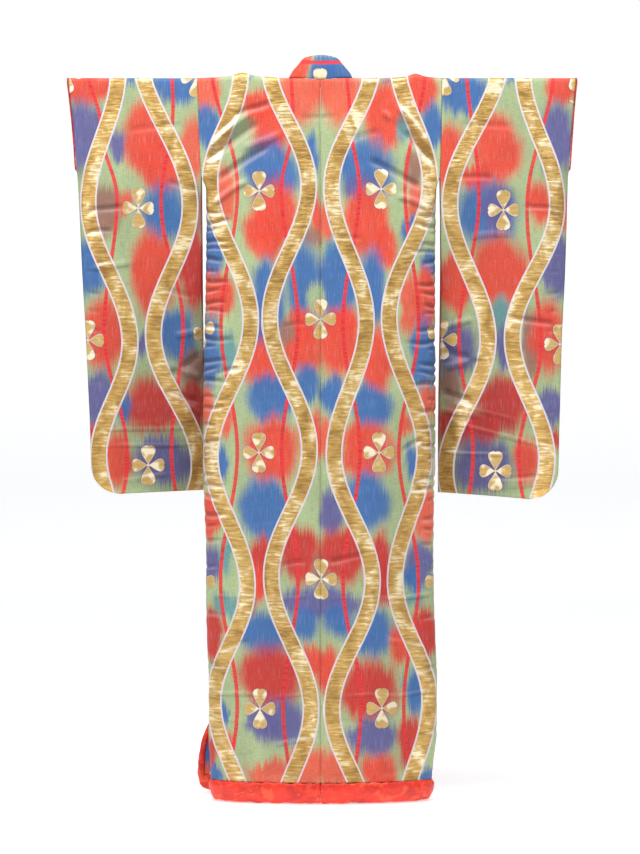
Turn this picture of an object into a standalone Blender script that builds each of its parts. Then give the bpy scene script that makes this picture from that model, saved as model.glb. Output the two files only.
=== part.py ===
"""Uchikake wedding kimono hung on a kimono rod.

The garment hangs by its sleeves and shoulders from a round rod along X. Its
back faces -Y and its fronts face +Y, so the wearer's left is at -X. The origin
is the middle of the rod. "Drop" is the distance down from the shoulder line.
Every cloth piece is an open surface thickened with Solidify, worked out from
the plan of the garment at each drop. The left front is turned out below the
collar end, so its front corner shows beside the left side seam.
"""

import math

import bmesh
import bpy
from mathutils import Vector

# ---- driving sizes, metres ----
WALL = 0.002  # outer cloth, interlining and lining together
COLLAR_WALL = 0.003
SEAM = 0.0003  # gap left at every seam
ROD_DIAMETER = 0.022
ROD_LENGTH = 1.270
ARCH_RADIUS = 0.0127  # middle of the cloth where it goes over the rod
SHOULDER = ARCH_RADIUS + WALL / 2  # height of the shoulder line above the rod's axis
HEM_DROP = 1.799  # the cloth ends here and the hem roll begins
ARMHOLE_DROP = 0.252  # the sleeve is sewn on down to here
SIDE_SEAM_DROP = 0.360  # back and front are sewn together from here down
CUFF_DROP = 0.240  # the cuff is open down to here
SLEEVE_CORNER = 0.074  # rounding of the sleeve's outer bottom corner
KENSAKI_DROP = 0.252  # pointed top of the overlap panel
COLLAR_END_DROP = 0.880
NECK_HALF_WIDTH = 0.082
FRONT_EDGE = 0.083  # how far each front reaches past the centre
OVERLAP_SEAM_TOP = 0.0348  # overlap seam from the centre, at its top
OVERLAP_SEAM_HEM = 0.058  # and at the hem
FRONT_STEP = 0.020  # the left front lies this far outside the right one
CORNER_DIP = 0.006  # the turned-out corner hangs this much lower
FOLD_SEAM_ROOM = 0.0006
FRONT_ROUNDING = 0.060  # width over which a front rounds into the side seam
ROLL_HEIGHT = 0.055  # padded hem roll at the back
ROLL_FRONT_HEIGHT = 0.047
ROLL_CORNER_HEIGHT = 0.046
ROLL_THICKNESS = 0.025
EDGE_ROLL_HEIGHT = 0.016  # the same roll up the front edge
EDGE_ROLL_THICKNESS = 0.012
ROLL_LEAN = 16.0  # degrees that the hem roll tucks in
CUFF_CORD = 0.0040  # diameter of the red cuff edge


class Table:
    """A short table read smoothly between its rows."""

    def __init__(self, names, rows):
        self.names = names.split()
        self.rows = rows

    def at(self, key, name):
        column = self.names.index(name)
        keys = [row[0] for row in self.rows]
        values = [row[column] for row in self.rows]
        if key <= keys[0]:
            return values[0]
        if key >= keys[-1]:
            return values[-1]
        i = max(k for k in range(len(keys)) if keys[k] <= key)
        span = keys[i + 1] - keys[i]
        rise = (values[i + 1] - values[i]) / span
        before = (values[i] - values[i - 1]) / (keys[i] - keys[i - 1]) if i else rise
        after = (
            (values[i + 2] - values[i + 1]) / (keys[i + 2] - keys[i + 1])
            if i + 2 < len(keys)
            else rise
        )
        # slopes that never overshoot a turning point
        m0 = 0.0 if before * rise <= 0 else 2 * before * rise / (before + rise)
        m1 = 0.0 if after * rise <= 0 else 2 * after * rise / (after + rise)
        t = (key - keys[i]) / span
        return (
            (2 * t**3 - 3 * t**2 + 1) * values[i]
            + (t**3 - 2 * t**2 + t) * span * m0
            + (3 * t**2 - 2 * t**3) * values[i + 1]
            + (t**3 - t**2) * span * m1
        )


# Half width of the body from the centre seam, left and right.
EDGE = Table(
    "drop left right",
    [
        (0.000, 0.3164, 0.3123),
        (0.252, 0.3053, 0.3063),
        (0.290, 0.2927, 0.2958),
        (0.420, 0.2930, 0.2943),
        (0.620, 0.2961, 0.2935),
        (0.770, 0.3004, 0.2870),
        (0.960, 0.3012, 0.2865),
        (1.090, 0.2979, 0.2905),
        (1.220, 0.2930, 0.2890),
        (1.340, 0.2930, 0.2905),
        (1.450, 0.2902, 0.2950),
        (1.560, 0.2866, 0.2990),
        (1.670, 0.2866, 0.2985),
        (1.745, 0.2840, 0.2905),
        (1.799, 0.2806, 0.2850),
    ],
)
# Plan of the body: how far the back and the front stand from the side seams'
# plane, how wide the back's rounding is, and how far the front bellies out
# past the side seam.
PLAN = Table(
    "drop back front back_rounding belly_right",
    [
        (0.0137, 0.0127, 0.0127, 0.060, 0.000),
        (0.100, 0.0165, 0.0180, 0.060, 0.000),
        (0.252, 0.0220, 0.0220, 0.060, 0.000),
        (0.500, 0.0330, 0.0300, 0.110, 0.004),
        (0.770, 0.0430, 0.0345, 0.150, 0.034),
        (0.960, 0.0490, 0.0370, 0.180, 0.034),
        (1.120, 0.0540, 0.0385, 0.200, 0.020),
        (1.400, 0.0630, 0.0400, 0.240, 0.000),
        (1.799, 0.0750, 0.0390, 0.280, 0.000),
    ],
)
# Sleeves: outer edge and inner edge from the centre, how far each edge stands
# forward of the rod's plane, and half the room between the two walls.
SLEEVE = Table(
    "drop left_outer right_outer left_inner right_inner outer_forward inner_forward half_room",
    [
        (0.0000, 0.6480, 0.6560, 0.3164, 0.3123, 0.000, 0.000, 0.0127),
        (0.0620, 0.6400, 0.6490, 0.3138, 0.3109, -0.001, 0.000, 0.0150),
        (0.1560, 0.6300, 0.6412, 0.3095, 0.3086, -0.006, 0.000, 0.0185),
        (0.2520, 0.6225, 0.6340, 0.3053, 0.3063, -0.014, 0.000, 0.0220),
        (0.3855, 0.6145, 0.6290, 0.3050, 0.3090, -0.026, 0.018, 0.0200),
        (0.5063, 0.6080, 0.6240, 0.3050, 0.3100, -0.036, 0.035, 0.0180),
        (0.6810, 0.5970, 0.6145, 0.3040, 0.3095, -0.048, 0.060, 0.0165),
        (0.7940, 0.5910, 0.6105, 0.3025, 0.3085, -0.056, 0.077, 0.0160),
        (0.9070, 0.5850, 0.6065, 0.3020, 0.3075, -0.064, 0.090, 0.0150),
        (1.0800, 0.5810, 0.6020, 0.3010, 0.3075, -0.074, 0.102, 0.0140),
    ],
)
SLEEVE_BOTTOM = Table(
    "side_sign inner outer", [(-1, 1.061, 1.066), (1, 1.067, 1.080)]
)
# The turned-out left front: where the fold begins in the flat front, its
# radius, and how much of a half turn it has made.
FOLD = Table(
    "drop start radius turn",
    [
        (0.900, 0.0450, 0.022, 0.00),
        (1.000, 0.0300, 0.022, 0.30),
        (1.120, 0.0000, 0.023, 0.75),
        (1.250, -0.0367, 0.024, 1.00),
        (1.500, -0.0985, 0.026, 1.00),
        (1.660, -0.1290, 0.026, 1.00),
        (1.700, -0.1445, 0.026, 1.00),
        (1.735, -0.1505, 0.026, 1.00),
        (1.799, -0.1505, 0.026, 1.00),
    ],
)
# Where the cloth lifts off the rod between neck and sleeve.
SHOULDER_LIFTS = [  # x, height, half width
    (-0.198, 0.0075, 0.030),
    (-0.200, 0.0062, 0.088),
    (0.244, 0.0070, 0.022),
    (0.240, 0.0045, 0.060),
]
# Rows over the rod: degrees round from the back, and the neck's half width.
ARCH = [
    (0, 0.0),
    (35, 0.0),
    (65, 0.055),
    (90, 0.080),
    (120, 0.0810),
    (150, 0.0805),
    (180, 0.0794),
]
# Rows down the back and the front.
DROPS = [
    0.060, 0.130, 0.190, 0.252, 0.290, 0.360, 0.480, 0.620, 0.750, 0.880,
    1.000, 1.120, 1.250, 1.420, 1.580, 1.700, HEM_DROP,
]  # fmt: skip
SLEEVE_DROPS = [0.060, 0.130, 0.190, 0.252, 0.310, 0.420, 0.560, 0.700, 0.840, 0.950]
SLEEVE_END_HEIGHTS = [0.060, 0.030, 0.010, 0.0]  # last rows, above the bottom seam
# The collar where it turns round the neck: its free edge, one side.
NECK_EDGE = [  # x, y, z
    (0.000, -0.010, 0.0715),
    (0.039, -0.002, 0.0655),
    (0.053, 0.016, 0.053),
    (0.052, 0.030, 0.046),
    (0.045, 0.042, 0.034),
    (0.040, 0.046, 0.016),
    (0.022, 0.040, -0.022),
    (0.004, 0.030, -0.104),
]
COLLAR_WIDTH_TOP = 0.057
COLLAR_WIDTH_END = 0.066
COLLAR_BOW = 0.004  # the band bows out round the neck


def eased(t):
    t = min(1.0, max(0.0, t))
    return t * t * (3 - 2 * t)


def rounding(distance, width):
    """0 at a rounded edge, 1 past its rounding."""
    return math.sqrt(max(0.0, 1 - (1 - min(1.0, max(0.0, distance) / width)) ** 2))


def half_width(side, drop):
    return EDGE.at(drop, "left" if side < 0 else "right")


def closing(drop):
    """0 where the side is open under the sleeve, 1 where it is sewn."""
    return eased((drop - ARMHOLE_DROP) / (SIDE_SEAM_DROP - ARMHOLE_DROP))


def lift(x):
    return sum(
        h * math.exp(-(((x - at) / w) ** 2) * 1.6) for at, h, w in SHOULDER_LIFTS
    )


def back_point(side, x, drop):
    """A point of the back; x is from the centre seam, signed."""
    room = half_width(side, drop) - abs(x)
    bulge = rounding(room, PLAN.at(drop, "back_rounding"))
    y = PLAN.at(drop, "back") * (1 - closing(drop) * (1 - bulge))
    fade = eased(1 - drop / 0.10)
    return Vector((x, -y - SEAM / 2, SHOULDER - drop + 0.6 * lift(x) * fade))


def front_point(side, x, drop):
    """A point of a front, from its side seam at side*half_width to past the centre.

    The left front turns out over its fold, so x is measured along the cloth.
    """
    half = half_width(side, drop)
    from_side = half - side * x
    y = PLAN.at(drop, "front") * (
        1 - closing(drop) * (1 - rounding(from_side, FRONT_ROUNDING))
    )
    if side < 0:
        y += (
            FRONT_STEP
            * eased((x + 0.24) / 0.10)
            * eased((drop - 0.02) / 0.25)
            * (1 - 0.5 * eased((drop - 1.5) / 0.25))
        )
    else:
        belly = PLAN.at(drop, "belly_right")
        x += belly * math.sin(math.pi * min(1.0, max(0.0, from_side / 0.06)))
    z = SHOULDER - drop + 0.6 * lift(x) * eased(1 - drop / 0.10)
    turn = math.pi * FOLD.at(drop, "turn")
    start = FOLD.at(drop, "start")
    if side < 0 and turn > 0 and x > start:
        radius = FOLD.at(drop, "radius")
        angle = min(turn, (x - start) / radius)
        rest = max(0.0, x - start - radius * turn)
        z -= CORNER_DIP * eased((x - start) / 0.15) * eased((drop - 1.3) / 0.45)
        y += radius * (1 - math.cos(angle)) + rest * math.sin(turn)
        x = start + radius * math.sin(angle) + rest * math.cos(turn)
    return Vector((x, y + SEAM / 2, z))


def arch_point(x, degrees):
    """A point of the cloth over the rod."""
    a = math.radians(degrees)
    raised = lift(x) * (0.6 + 0.4 * math.sin(a))
    y = -ARCH_RADIUS * math.cos(a)
    return Vector((x, y, ARCH_RADIUS * math.sin(a) + raised))


def collar_seam(drop):
    """How far from the centre, towards its own side, the collar is sewn to a front."""
    return NECK_HALF_WIDTH - (NECK_HALF_WIDTH + FRONT_EDGE) * drop / COLLAR_END_DROP


def overlap_seam(drop):
    t = (drop - KENSAKI_DROP) / (HEM_DROP - KENSAKI_DROP)
    return OVERLAP_SEAM_TOP + (OVERLAP_SEAM_HEM - OVERLAP_SEAM_TOP) * t


def sleeve_edges(side, drop):
    name = "left" if side < 0 else "right"
    inner = SLEEVE.at(drop, name + "_inner")
    if drop <= ARMHOLE_DROP:
        inner = half_width(side, drop)
    bottom = SLEEVE_BOTTOM.at(side, "outer")
    above = max(0.0, bottom - drop)
    outer = SLEEVE.at(drop, name + "_outer")
    if above < SLEEVE_CORNER:
        outer -= SLEEVE_CORNER * (1 - rounding(above, SLEEVE_CORNER))
    return inner + SEAM, outer


def sleeve_point(side, face, reach, drop):
    """A point of a sleeve's back (face -1) or front (face 1) wall."""
    inner, outer = sleeve_edges(side, drop)
    bottom = SLEEVE_BOTTOM.at(side, "inner") * (1 - reach) + reach * SLEEVE_BOTTOM.at(
        side, "outer"
    )
    forward = (
        SLEEVE.at(drop, "inner_forward") * (1 - reach)
        + SLEEVE.at(drop, "outer_forward") * reach
    )
    x = inner + (outer - inner) * reach
    closed = (WALL + SEAM) / 2
    cuff = eased((drop - CUFF_DROP + 0.02) / 0.05)
    sewn = (1 - cuff * math.exp(-(outer - x) / 0.025)) * (
        1 - math.exp(-max(0.0, bottom - drop) / 0.03)
    )
    room = closed + (SLEEVE.at(drop, "half_room") - closed) * sewn
    if drop < 0.0138:
        forward = 0.0
    return Vector((side * x, forward + face * room, SHOULDER - drop))


# ---- building ----
for old in list(bpy.data.objects):
    bpy.data.objects.remove(old, do_unlink=True)
garment = bpy.data.collections.new("uchikake")
bpy.context.scene.collection.children.link(garment)
hanger = bpy.data.objects.new("uchikake_on_rod", None)
garment.objects.link(hanger)


def material(name, colour, roughness, metallic=0.0):
    made = bpy.data.materials.new(name)
    made.use_nodes = True
    shader = made.node_tree.nodes["Principled BSDF"]
    shader.inputs["Base Color"].default_value = (*colour, 1)
    shader.inputs["Roughness"].default_value = roughness
    shader.inputs["Metallic"].default_value = metallic
    return made


def keep(obj, made):
    for was in list(obj.users_collection):
        was.objects.unlink(obj)
    garment.objects.link(obj)
    obj.parent = hanger
    obj.data.materials.clear()
    obj.data.materials.append(made)
    return obj


def sheet(name, rows, thickness, made):
    """A cloth piece from rows of points, thickened equally to both sides."""
    mesh = bpy.data.meshes.new(name)
    width = len(rows[0])
    points = [p for row in rows for p in row]
    faces = [
        (r * width + c, r * width + c + 1, (r + 1) * width + c + 1, (r + 1) * width + c)
        for r in range(len(rows) - 1)
        for c in range(width - 1)
    ]
    mesh.from_pydata(points, [], faces)
    mesh.shade_smooth()
    obj = bpy.data.objects.new(name, mesh)
    garment.objects.link(obj)
    wall = obj.modifiers.new("wall", "SOLIDIFY")
    wall.thickness = thickness
    wall.offset = 0.0
    wall.use_even_offset = False
    return keep(obj, made)


def roll(name, stations, made, sides=8):
    """A padded roll lofted through oval sections: centre, up, out, height, thickness."""
    work = bmesh.new()
    rings = []
    for centre, up, out, height, thick in stations:
        ring = []
        for k in range(sides):
            a = 2 * math.pi * k / sides
            ring.append(
                work.verts.new(
                    centre
                    + up * (height / 2 * math.cos(a))
                    + out * (thick / 2 * math.sin(a))
                )
            )
        rings.append(ring)
    for one, two in zip(rings, rings[1:]):
        for k in range(sides):
            m = (k + 1) % sides
            work.faces.new((one[k], one[m], two[m], two[k]))
    work.faces.new(rings[0])
    work.faces.new(rings[-1])
    bmesh.ops.recalc_face_normals(work, faces=work.faces)
    mesh = bpy.data.meshes.new(name)
    work.to_mesh(mesh)
    work.free()
    mesh.shade_smooth()
    obj = bpy.data.objects.new(name, mesh)
    garment.objects.link(obj)
    return keep(obj, made)


def spread(count, towards_side):
    """Column positions 0..1, closer together near 1."""
    steps = []
    for k in range(count + 1):
        t = k / count
        steps.append((1 - towards_side) * t + towards_side * math.sin(t * math.pi / 2))
    return steps


brocade = material("brocade", (0.62, 0.33, 0.24), 0.55)
gold = material("gold_brocade", (0.74, 0.58, 0.30), 0.45, 0.2)
red = material("red_satin", (0.80, 0.05, 0.03), 0.35)
wood = material("lacquered_wood", (0.10, 0.05, 0.03), 0.35)

for side, word in ((-1, "left"), (1, "right")):
    # -- body: up the back, over the rod and down the front --
    back_steps = spread(13 if side < 0 else 8, 0.45 if side < 0 else 1.0)
    front_steps = spread(13 if side < 0 else 8, 0.45 if side < 0 else 0.9)
    rows = []
    for drop in reversed(DROPS):
        half = half_width(side, drop)
        inner = SEAM / 2
        rows.append(
            [
                back_point(side, side * (inner + (half - inner) * s), drop)
                for s in back_steps
            ]
        )
    for degrees, neck in ARCH:
        half = half_width(side, 0.0137)
        inner = max(SEAM / 2, neck)
        rows.append(
            [
                arch_point(side * (inner + (half - inner) * s), degrees)
                for s in back_steps
            ]
        )
    for drop in DROPS:
        half = half_width(side, drop)
        inner = collar_seam(drop) if drop <= KENSAKI_DROP else overlap_seam(drop)
        rows.append(
            [
                front_point(side, side * (inner + (half - inner) * s), drop)
                for s in front_steps
            ]
        )
    if side > 0:
        rows = [row[::-1] for row in rows]
    sheet(f"body_{word}", rows, WALL, brocade)

    # -- overlap panel --
    rows = []
    for drop in [KENSAKI_DROP + 0.012] + [d for d in DROPS if d > KENSAKI_DROP]:
        outer = overlap_seam(drop) - SEAM
        if side < 0 and drop > COLLAR_END_DROP:
            outer -= FOLD_SEAM_ROOM  # the wall's edges lean together inside the fold
        inner = collar_seam(drop) + SEAM if drop < COLLAR_END_DROP else -FRONT_EDGE
        columns = 6 if side < 0 else 3
        rows.append(
            [
                front_point(side, side * (outer + (inner - outer) * k / columns), drop)
                for k in range(columns + 1)
            ]
        )
    if side < 0:
        rows = [row[::-1] for row in rows]
    sheet(f"okumi_{word}", rows, WALL, brocade)

    # -- sleeve: up its back wall, over the rod and down its front wall --
    columns = 6
    rows = []
    name = f"sleeve_{word}"
    for face in (-1, 1):
        wall_rows = []
        for drop in SLEEVE_DROPS:
            wall_rows.append(
                [
                    sleeve_point(side, face, k / columns, drop)
                    for k in range(columns + 1)
                ]
            )
        for height in SLEEVE_END_HEIGHTS:
            row = []
            for k in range(columns + 1):
                reach = k / columns
                bottom = (1 - reach) * SLEEVE_BOTTOM.at(side, "inner")
                bottom += reach * SLEEVE_BOTTOM.at(side, "outer")
                row.append(sleeve_point(side, face, reach, bottom - height))
            wall_rows.append(row)
        if face < 0:
            rows += wall_rows[::-1]
            for degrees, _ in ARCH:
                inner, outer = sleeve_edges(side, 0.0137)
                rows.append(
                    [
                        arch_point(side * (inner + (outer - inner) * k / columns), degrees)
                        for k in range(columns + 1)
                    ]
                )
        else:
            rows += wall_rows
    if side > 0:
        rows = [row[::-1] for row in rows]
    sheet(name, rows, WALL, gold)

    # -- cuff edge: a thin cord round the open cuff --
    path = []
    out = side * (CUFF_CORD / 2 + SEAM + 0.0003)
    cuff_drops = [d for d in SLEEVE_DROPS if d < CUFF_DROP] + [CUFF_DROP]
    path += [sleeve_point(side, -1, 1.0, d) for d in reversed(cuff_drops)]
    edge = sleeve_edges(side, 0.0137)[1]
    path += [arch_point(side * edge, degrees) for degrees, _ in ARCH]
    path += [sleeve_point(side, 1, 1.0, d) for d in cuff_drops]
    curve = bpy.data.curves.new(f"cuff_edge_{word}", "CURVE")
    curve.dimensions = "3D"
    curve.bevel_depth = CUFF_CORD / 2
    curve.bevel_resolution = 1
    curve.use_fill_caps = True
    spline = curve.splines.new("POLY")
    spline.points.add(len(path) - 1)
    for point, place in zip(spline.points, path):
        point.co = (place.x + out, place.y, place.z, 1)
    cord = bpy.data.objects.new(f"cuff_edge_{word}", curve)
    garment.objects.link(cord)
    keep(cord, red)

    # -- padded hem roll --
    stations = []
    lean = math.radians(ROLL_LEAN)
    down = Vector((0, 0, -1))

    def hem_station(point_at, here, step):
        """Section under the hem at one place of the plan."""
        at = point_at(here)
        along = (point_at(here + step) - point_at(here - step)).normalized()
        out_way = along.cross(Vector((0, 0, 1))).normalized()
        return at, along, out_way

    half = half_width(side, HEM_DROP)
    back_places = [0.0, 0.22, 0.42, 0.60, 0.75, 0.86, 0.94, 0.985]
    for s in back_places:
        x = side * (SEAM / 2 + (half - SEAM / 2) * s)
        at = back_point(side, x, HEM_DROP)
        near = back_point(side, x + side * 0.001, HEM_DROP)
        along = (near - at).normalized()
        if s == 0.0:
            along = Vector((side, 0, 0))
        out_way = Vector((along.y, -along.x, 0)) * side
        stations.append((at, out_way.normalized(), ROLL_HEIGHT, ROLL_THICKNESS, 0.0))
    seam_at = (back_point(side, side * half, HEM_DROP) + front_point(side, side * half, HEM_DROP)) / 2
    stations.append((seam_at, Vector((side, 0, 0)), ROLL_HEIGHT, ROLL_THICKNESS, 0.0))
    front_places = [0.004, 0.014, 0.032, 0.060]
    last = half + FRONT_EDGE
    if side > 0:
        front_places += [0.12, 0.20, 0.27, last - 0.050, last - 0.020]
    else:
        start = half + FOLD.at(HEM_DROP, "start")
        turn_length = math.pi * FOLD.at(HEM_DROP, "radius")
        front_places += [0.090, start]
        front_places += [start + turn_length * k / 6 for k in range(1, 7)]
        front_places += [start + turn_length + 0.05, last - 0.050, last - 0.020]
    for from_side in front_places:
        x = side * (half - from_side)
        at = front_point(side, x, HEM_DROP)
        near = front_point(side, x - side * 0.001, HEM_DROP)
        along = (near - at).normalized()
        out_way = Vector((along.y, -along.x, 0)) * side
        height = ROLL_HEIGHT + (ROLL_FRONT_HEIGHT - ROLL_HEIGHT) * eased(
            from_side / 0.12
        )
        if from_side > last - 0.03:
            height = ROLL_CORNER_HEIGHT
        stations.append((at, out_way.normalized(), height, ROLL_THICKNESS, 0.0))
    sections = []
    for at, out_way, height, thick, _ in stations:
        up = (-down * math.cos(lean) + out_way * math.sin(lean)).normalized()
        out_now = (out_way * math.cos(lean) + down * math.sin(lean)).normalized()
        sections.append(
            (at - up * (SEAM + 0.0008 + height / 2), up, out_now, height, thick)
        )
    # the front corner: the section swings from hanging down to pointing forward
    corner = front_point(side, -side * FRONT_EDGE, HEM_DROP)
    inside = front_point(side, -side * (FRONT_EDGE - 0.001), HEM_DROP)
    across = (corner - inside).normalized()
    out_way = Vector((across.y, -across.x, 0)).normalized() * side
    corner_rows = [  # swing in degrees, height, thickness
        (0, 0.041, 0.022),
        (24, 0.031, 0.020),
        (48, 0.021, 0.017),
        (70, 0.018, 0.015),
    ]
    for swing, height, thick in corner_rows:
        a = math.radians(swing)
        settle = lean * (1 - swing / 90)
        plumb = (down * math.cos(settle) - out_way * math.sin(settle)).normalized()
        way = (plumb * math.cos(a) + across * math.sin(a)).normalized()
        sections.append((corner + way * (0.0012 + height / 2), -way, out_way, height, thick))
    edge_drops = [HEM_DROP - 0.010] + [d for d in reversed(DROPS) if COLLAR_END_DROP < d < HEM_DROP]
    edge_drops += [COLLAR_END_DROP + 0.006]
    for drop in edge_drops:
        at = front_point(side, -side * FRONT_EDGE, drop)
        inside = front_point(side, -side * (FRONT_EDGE - 0.001), drop)
        across = (at - inside).normalized()
        out_way = Vector((across.y, -across.x, 0)).normalized() * side
        swell = eased((drop - HEM_DROP + 0.05) / 0.04)
        height = EDGE_ROLL_HEIGHT + 0.002 * swell
        thick = EDGE_ROLL_THICKNESS + 0.002 * swell
        sections.append(
            (at + across * (SEAM + 0.0008 + height / 2), -across, out_way, height, thick)
        )
    roll(f"fuki_{word}", sections, red)

# -- collar: one band from the left collar end round the neck to the right --
collar_rows = []
front_drops = [d for d in DROPS if d <= COLLAR_END_DROP]
half_rows = {}
for side in (-1, 1):
    stations = []
    for k, (degrees, neck) in enumerate(ARCH[1:]):
        seam = arch_point(side * neck, degrees)
        x, y, z = NECK_EDGE[k]
        edge = Vector((side * x, y, z))
        way = (edge - seam).normalized()
        stations.append((seam + way * 0.0022, edge))
    slope = math.atan((NECK_HALF_WIDTH + FRONT_EDGE) / COLLAR_END_DROP)
    for k, drop in enumerate(front_drops):
        seam_x = collar_seam(drop)
        width = COLLAR_WIDTH_TOP + (COLLAR_WIDTH_END - COLLAR_WIDTH_TOP) * (
            drop / COLLAR_END_DROP
        )
        seam = front_point(side, side * (seam_x - SEAM - 0.0004), drop)
        edge = front_point(
            side,
            side * (seam_x - width * math.cos(slope)),
            drop - width * math.sin(slope),
        )
        if k < 2:
            x, y, z = NECK_EDGE[6 + k]
            edge = Vector((side * x, y, z))
            way = (edge - seam).normalized()
            seam = seam + way * (0.0012 if k == 0 else 0.0006)
        stations.append((seam, edge))
    half_rows[side] = stations
ordered = half_rows[-1][::-1] + half_rows[1][1:]
for seam, edge in ordered:
    outward = Vector((seam.x, seam.y - 0.02, 0)).normalized()
    bow = COLLAR_BOW * eased((seam.z + 0.10) / 0.10)
    collar_rows.append(
        [
            seam + (edge - seam) * k / 3 + outward * (bow * math.sin(math.pi * k / 3))
            for k in range(4)
        ]
    )
sheet("collar", collar_rows, COLLAR_WALL, brocade)

# -- rod --
bpy.ops.mesh.primitive_cylinder_add(
    vertices=20,
    radius=ROD_DIAMETER / 2,
    depth=ROD_LENGTH,
    location=(0, 0, 0),
    rotation=(0, math.pi / 2, 0),
)
rod = bpy.context.object
rod.name = "rod"
rod.data.name = "rod"
ends = rod.modifiers.new("ends", "BEVEL")
ends.width = 0.0015
ends.segments = 1
ends.limit_method = "ANGLE"
ends.angle_limit = math.radians(60)
rod.data.shade_smooth()
keep(rod, wood)
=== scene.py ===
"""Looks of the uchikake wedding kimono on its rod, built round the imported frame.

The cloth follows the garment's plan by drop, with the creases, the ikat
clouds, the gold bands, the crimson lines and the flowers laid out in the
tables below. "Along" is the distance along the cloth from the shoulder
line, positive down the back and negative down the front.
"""

import math

import bpy
import numpy as np
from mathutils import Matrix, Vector


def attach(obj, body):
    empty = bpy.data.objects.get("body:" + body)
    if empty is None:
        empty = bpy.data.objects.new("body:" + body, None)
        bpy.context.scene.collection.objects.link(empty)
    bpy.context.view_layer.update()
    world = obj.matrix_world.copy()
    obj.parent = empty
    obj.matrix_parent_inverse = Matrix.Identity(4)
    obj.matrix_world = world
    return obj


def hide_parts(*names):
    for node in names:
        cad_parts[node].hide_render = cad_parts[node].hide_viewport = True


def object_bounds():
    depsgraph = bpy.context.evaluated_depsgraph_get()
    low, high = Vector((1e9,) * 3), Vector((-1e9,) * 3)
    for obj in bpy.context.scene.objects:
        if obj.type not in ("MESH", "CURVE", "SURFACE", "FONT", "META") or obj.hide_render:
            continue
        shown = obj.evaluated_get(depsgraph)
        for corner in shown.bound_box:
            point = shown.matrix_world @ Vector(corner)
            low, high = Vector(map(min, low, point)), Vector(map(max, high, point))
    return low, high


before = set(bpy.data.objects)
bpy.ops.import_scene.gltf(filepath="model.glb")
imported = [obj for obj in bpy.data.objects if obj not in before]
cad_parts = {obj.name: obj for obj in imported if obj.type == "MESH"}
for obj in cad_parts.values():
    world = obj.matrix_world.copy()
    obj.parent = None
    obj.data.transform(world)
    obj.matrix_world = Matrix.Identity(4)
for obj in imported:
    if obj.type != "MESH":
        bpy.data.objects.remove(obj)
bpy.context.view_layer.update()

# ---- driving sizes, metres ----
WALL = 0.002  # outer cloth, interlining and lining together
COLLAR_WALL = 0.003
SEAM = 0.0003  # gap left at every seam
ROD_DIAMETER = 0.022
ROD_LENGTH = 1.270
ARCH_RADIUS = 0.0127  # middle of the cloth where it goes over the rod
SHOULDER = ARCH_RADIUS + WALL / 2  # height of the shoulder line above the rod's axis
HEM_DROP = 1.799  # the cloth ends here and the hem roll begins
ARMHOLE_DROP = 0.252  # the sleeve is sewn on down to here
SIDE_SEAM_DROP = 0.360  # back and front are sewn together from here down
CUFF_DROP = 0.240  # the cuff is open down to here
SLEEVE_CORNER = 0.074  # rounding of the sleeve's outer bottom corner
KENSAKI_DROP = 0.252  # pointed top of the overlap panel
COLLAR_END_DROP = 0.880
NECK_HALF_WIDTH = 0.082
FRONT_EDGE = 0.083  # how far each front reaches past the centre
OVERLAP_SEAM_TOP = 0.0348  # overlap seam from the centre, at its top
OVERLAP_SEAM_HEM = 0.058  # and at the hem
FRONT_STEP = 0.020  # the left front lies this far outside the right one
CORNER_DIP = 0.006  # the turned-out corner hangs this much lower
FOLD_SEAM_ROOM = 0.0006
FRONT_ROUNDING = 0.060  # width over which a front rounds into the side seam
ROLL_HEIGHT = 0.055  # padded hem roll at the back
ROLL_FRONT_HEIGHT = 0.047
ROLL_CORNER_HEIGHT = 0.046
ROLL_THICKNESS = 0.025
EDGE_ROLL_HEIGHT = 0.016  # the same roll up the front edge
EDGE_ROLL_THICKNESS = 0.012
ROLL_LEAN = 16.0  # degrees that the hem roll tucks in
CUFF_CORD = 0.0040  # diameter of the red cuff edge


class Table:
    """A short table read smoothly between its rows."""

    def __init__(self, names, rows):
        self.names = names.split()
        self.rows = rows

    def at(self, key, name):
        column = self.names.index(name)
        keys = [row[0] for row in self.rows]
        values = [row[column] for row in self.rows]
        if key <= keys[0]:
            return values[0]
        if key >= keys[-1]:
            return values[-1]
        i = max(k for k in range(len(keys)) if keys[k] <= key)
        span = keys[i + 1] - keys[i]
        rise = (values[i + 1] - values[i]) / span
        before = (values[i] - values[i - 1]) / (keys[i] - keys[i - 1]) if i else rise
        after = (
            (values[i + 2] - values[i + 1]) / (keys[i + 2] - keys[i + 1])
            if i + 2 < len(keys)
            else rise
        )
        # slopes that never overshoot a turning point
        m0 = 0.0 if before * rise <= 0 else 2 * before * rise / (before + rise)
        m1 = 0.0 if after * rise <= 0 else 2 * after * rise / (after + rise)
        t = (key - keys[i]) / span
        return (
            (2 * t**3 - 3 * t**2 + 1) * values[i]
            + (t**3 - 2 * t**2 + t) * span * m0
            + (3 * t**2 - 2 * t**3) * values[i + 1]
            + (t**3 - t**2) * span * m1
        )


# Half width of the body from the centre seam, left and right.
EDGE = Table(
    "drop left right",
    [
        (0.000, 0.3164, 0.3123),
        (0.252, 0.3053, 0.3063),
        (0.290, 0.2927, 0.2958),
        (0.420, 0.2930, 0.2943),
        (0.620, 0.2961, 0.2935),
        (0.770, 0.3004, 0.2870),
        (0.960, 0.3012, 0.2865),
        (1.090, 0.2979, 0.2905),
        (1.220, 0.2930, 0.2890),
        (1.340, 0.2930, 0.2905),
        (1.450, 0.2902, 0.2950),
        (1.560, 0.2866, 0.2990),
        (1.670, 0.2866, 0.2985),
        (1.745, 0.2840, 0.2905),
        (1.799, 0.2806, 0.2850),
    ],
)
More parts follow.
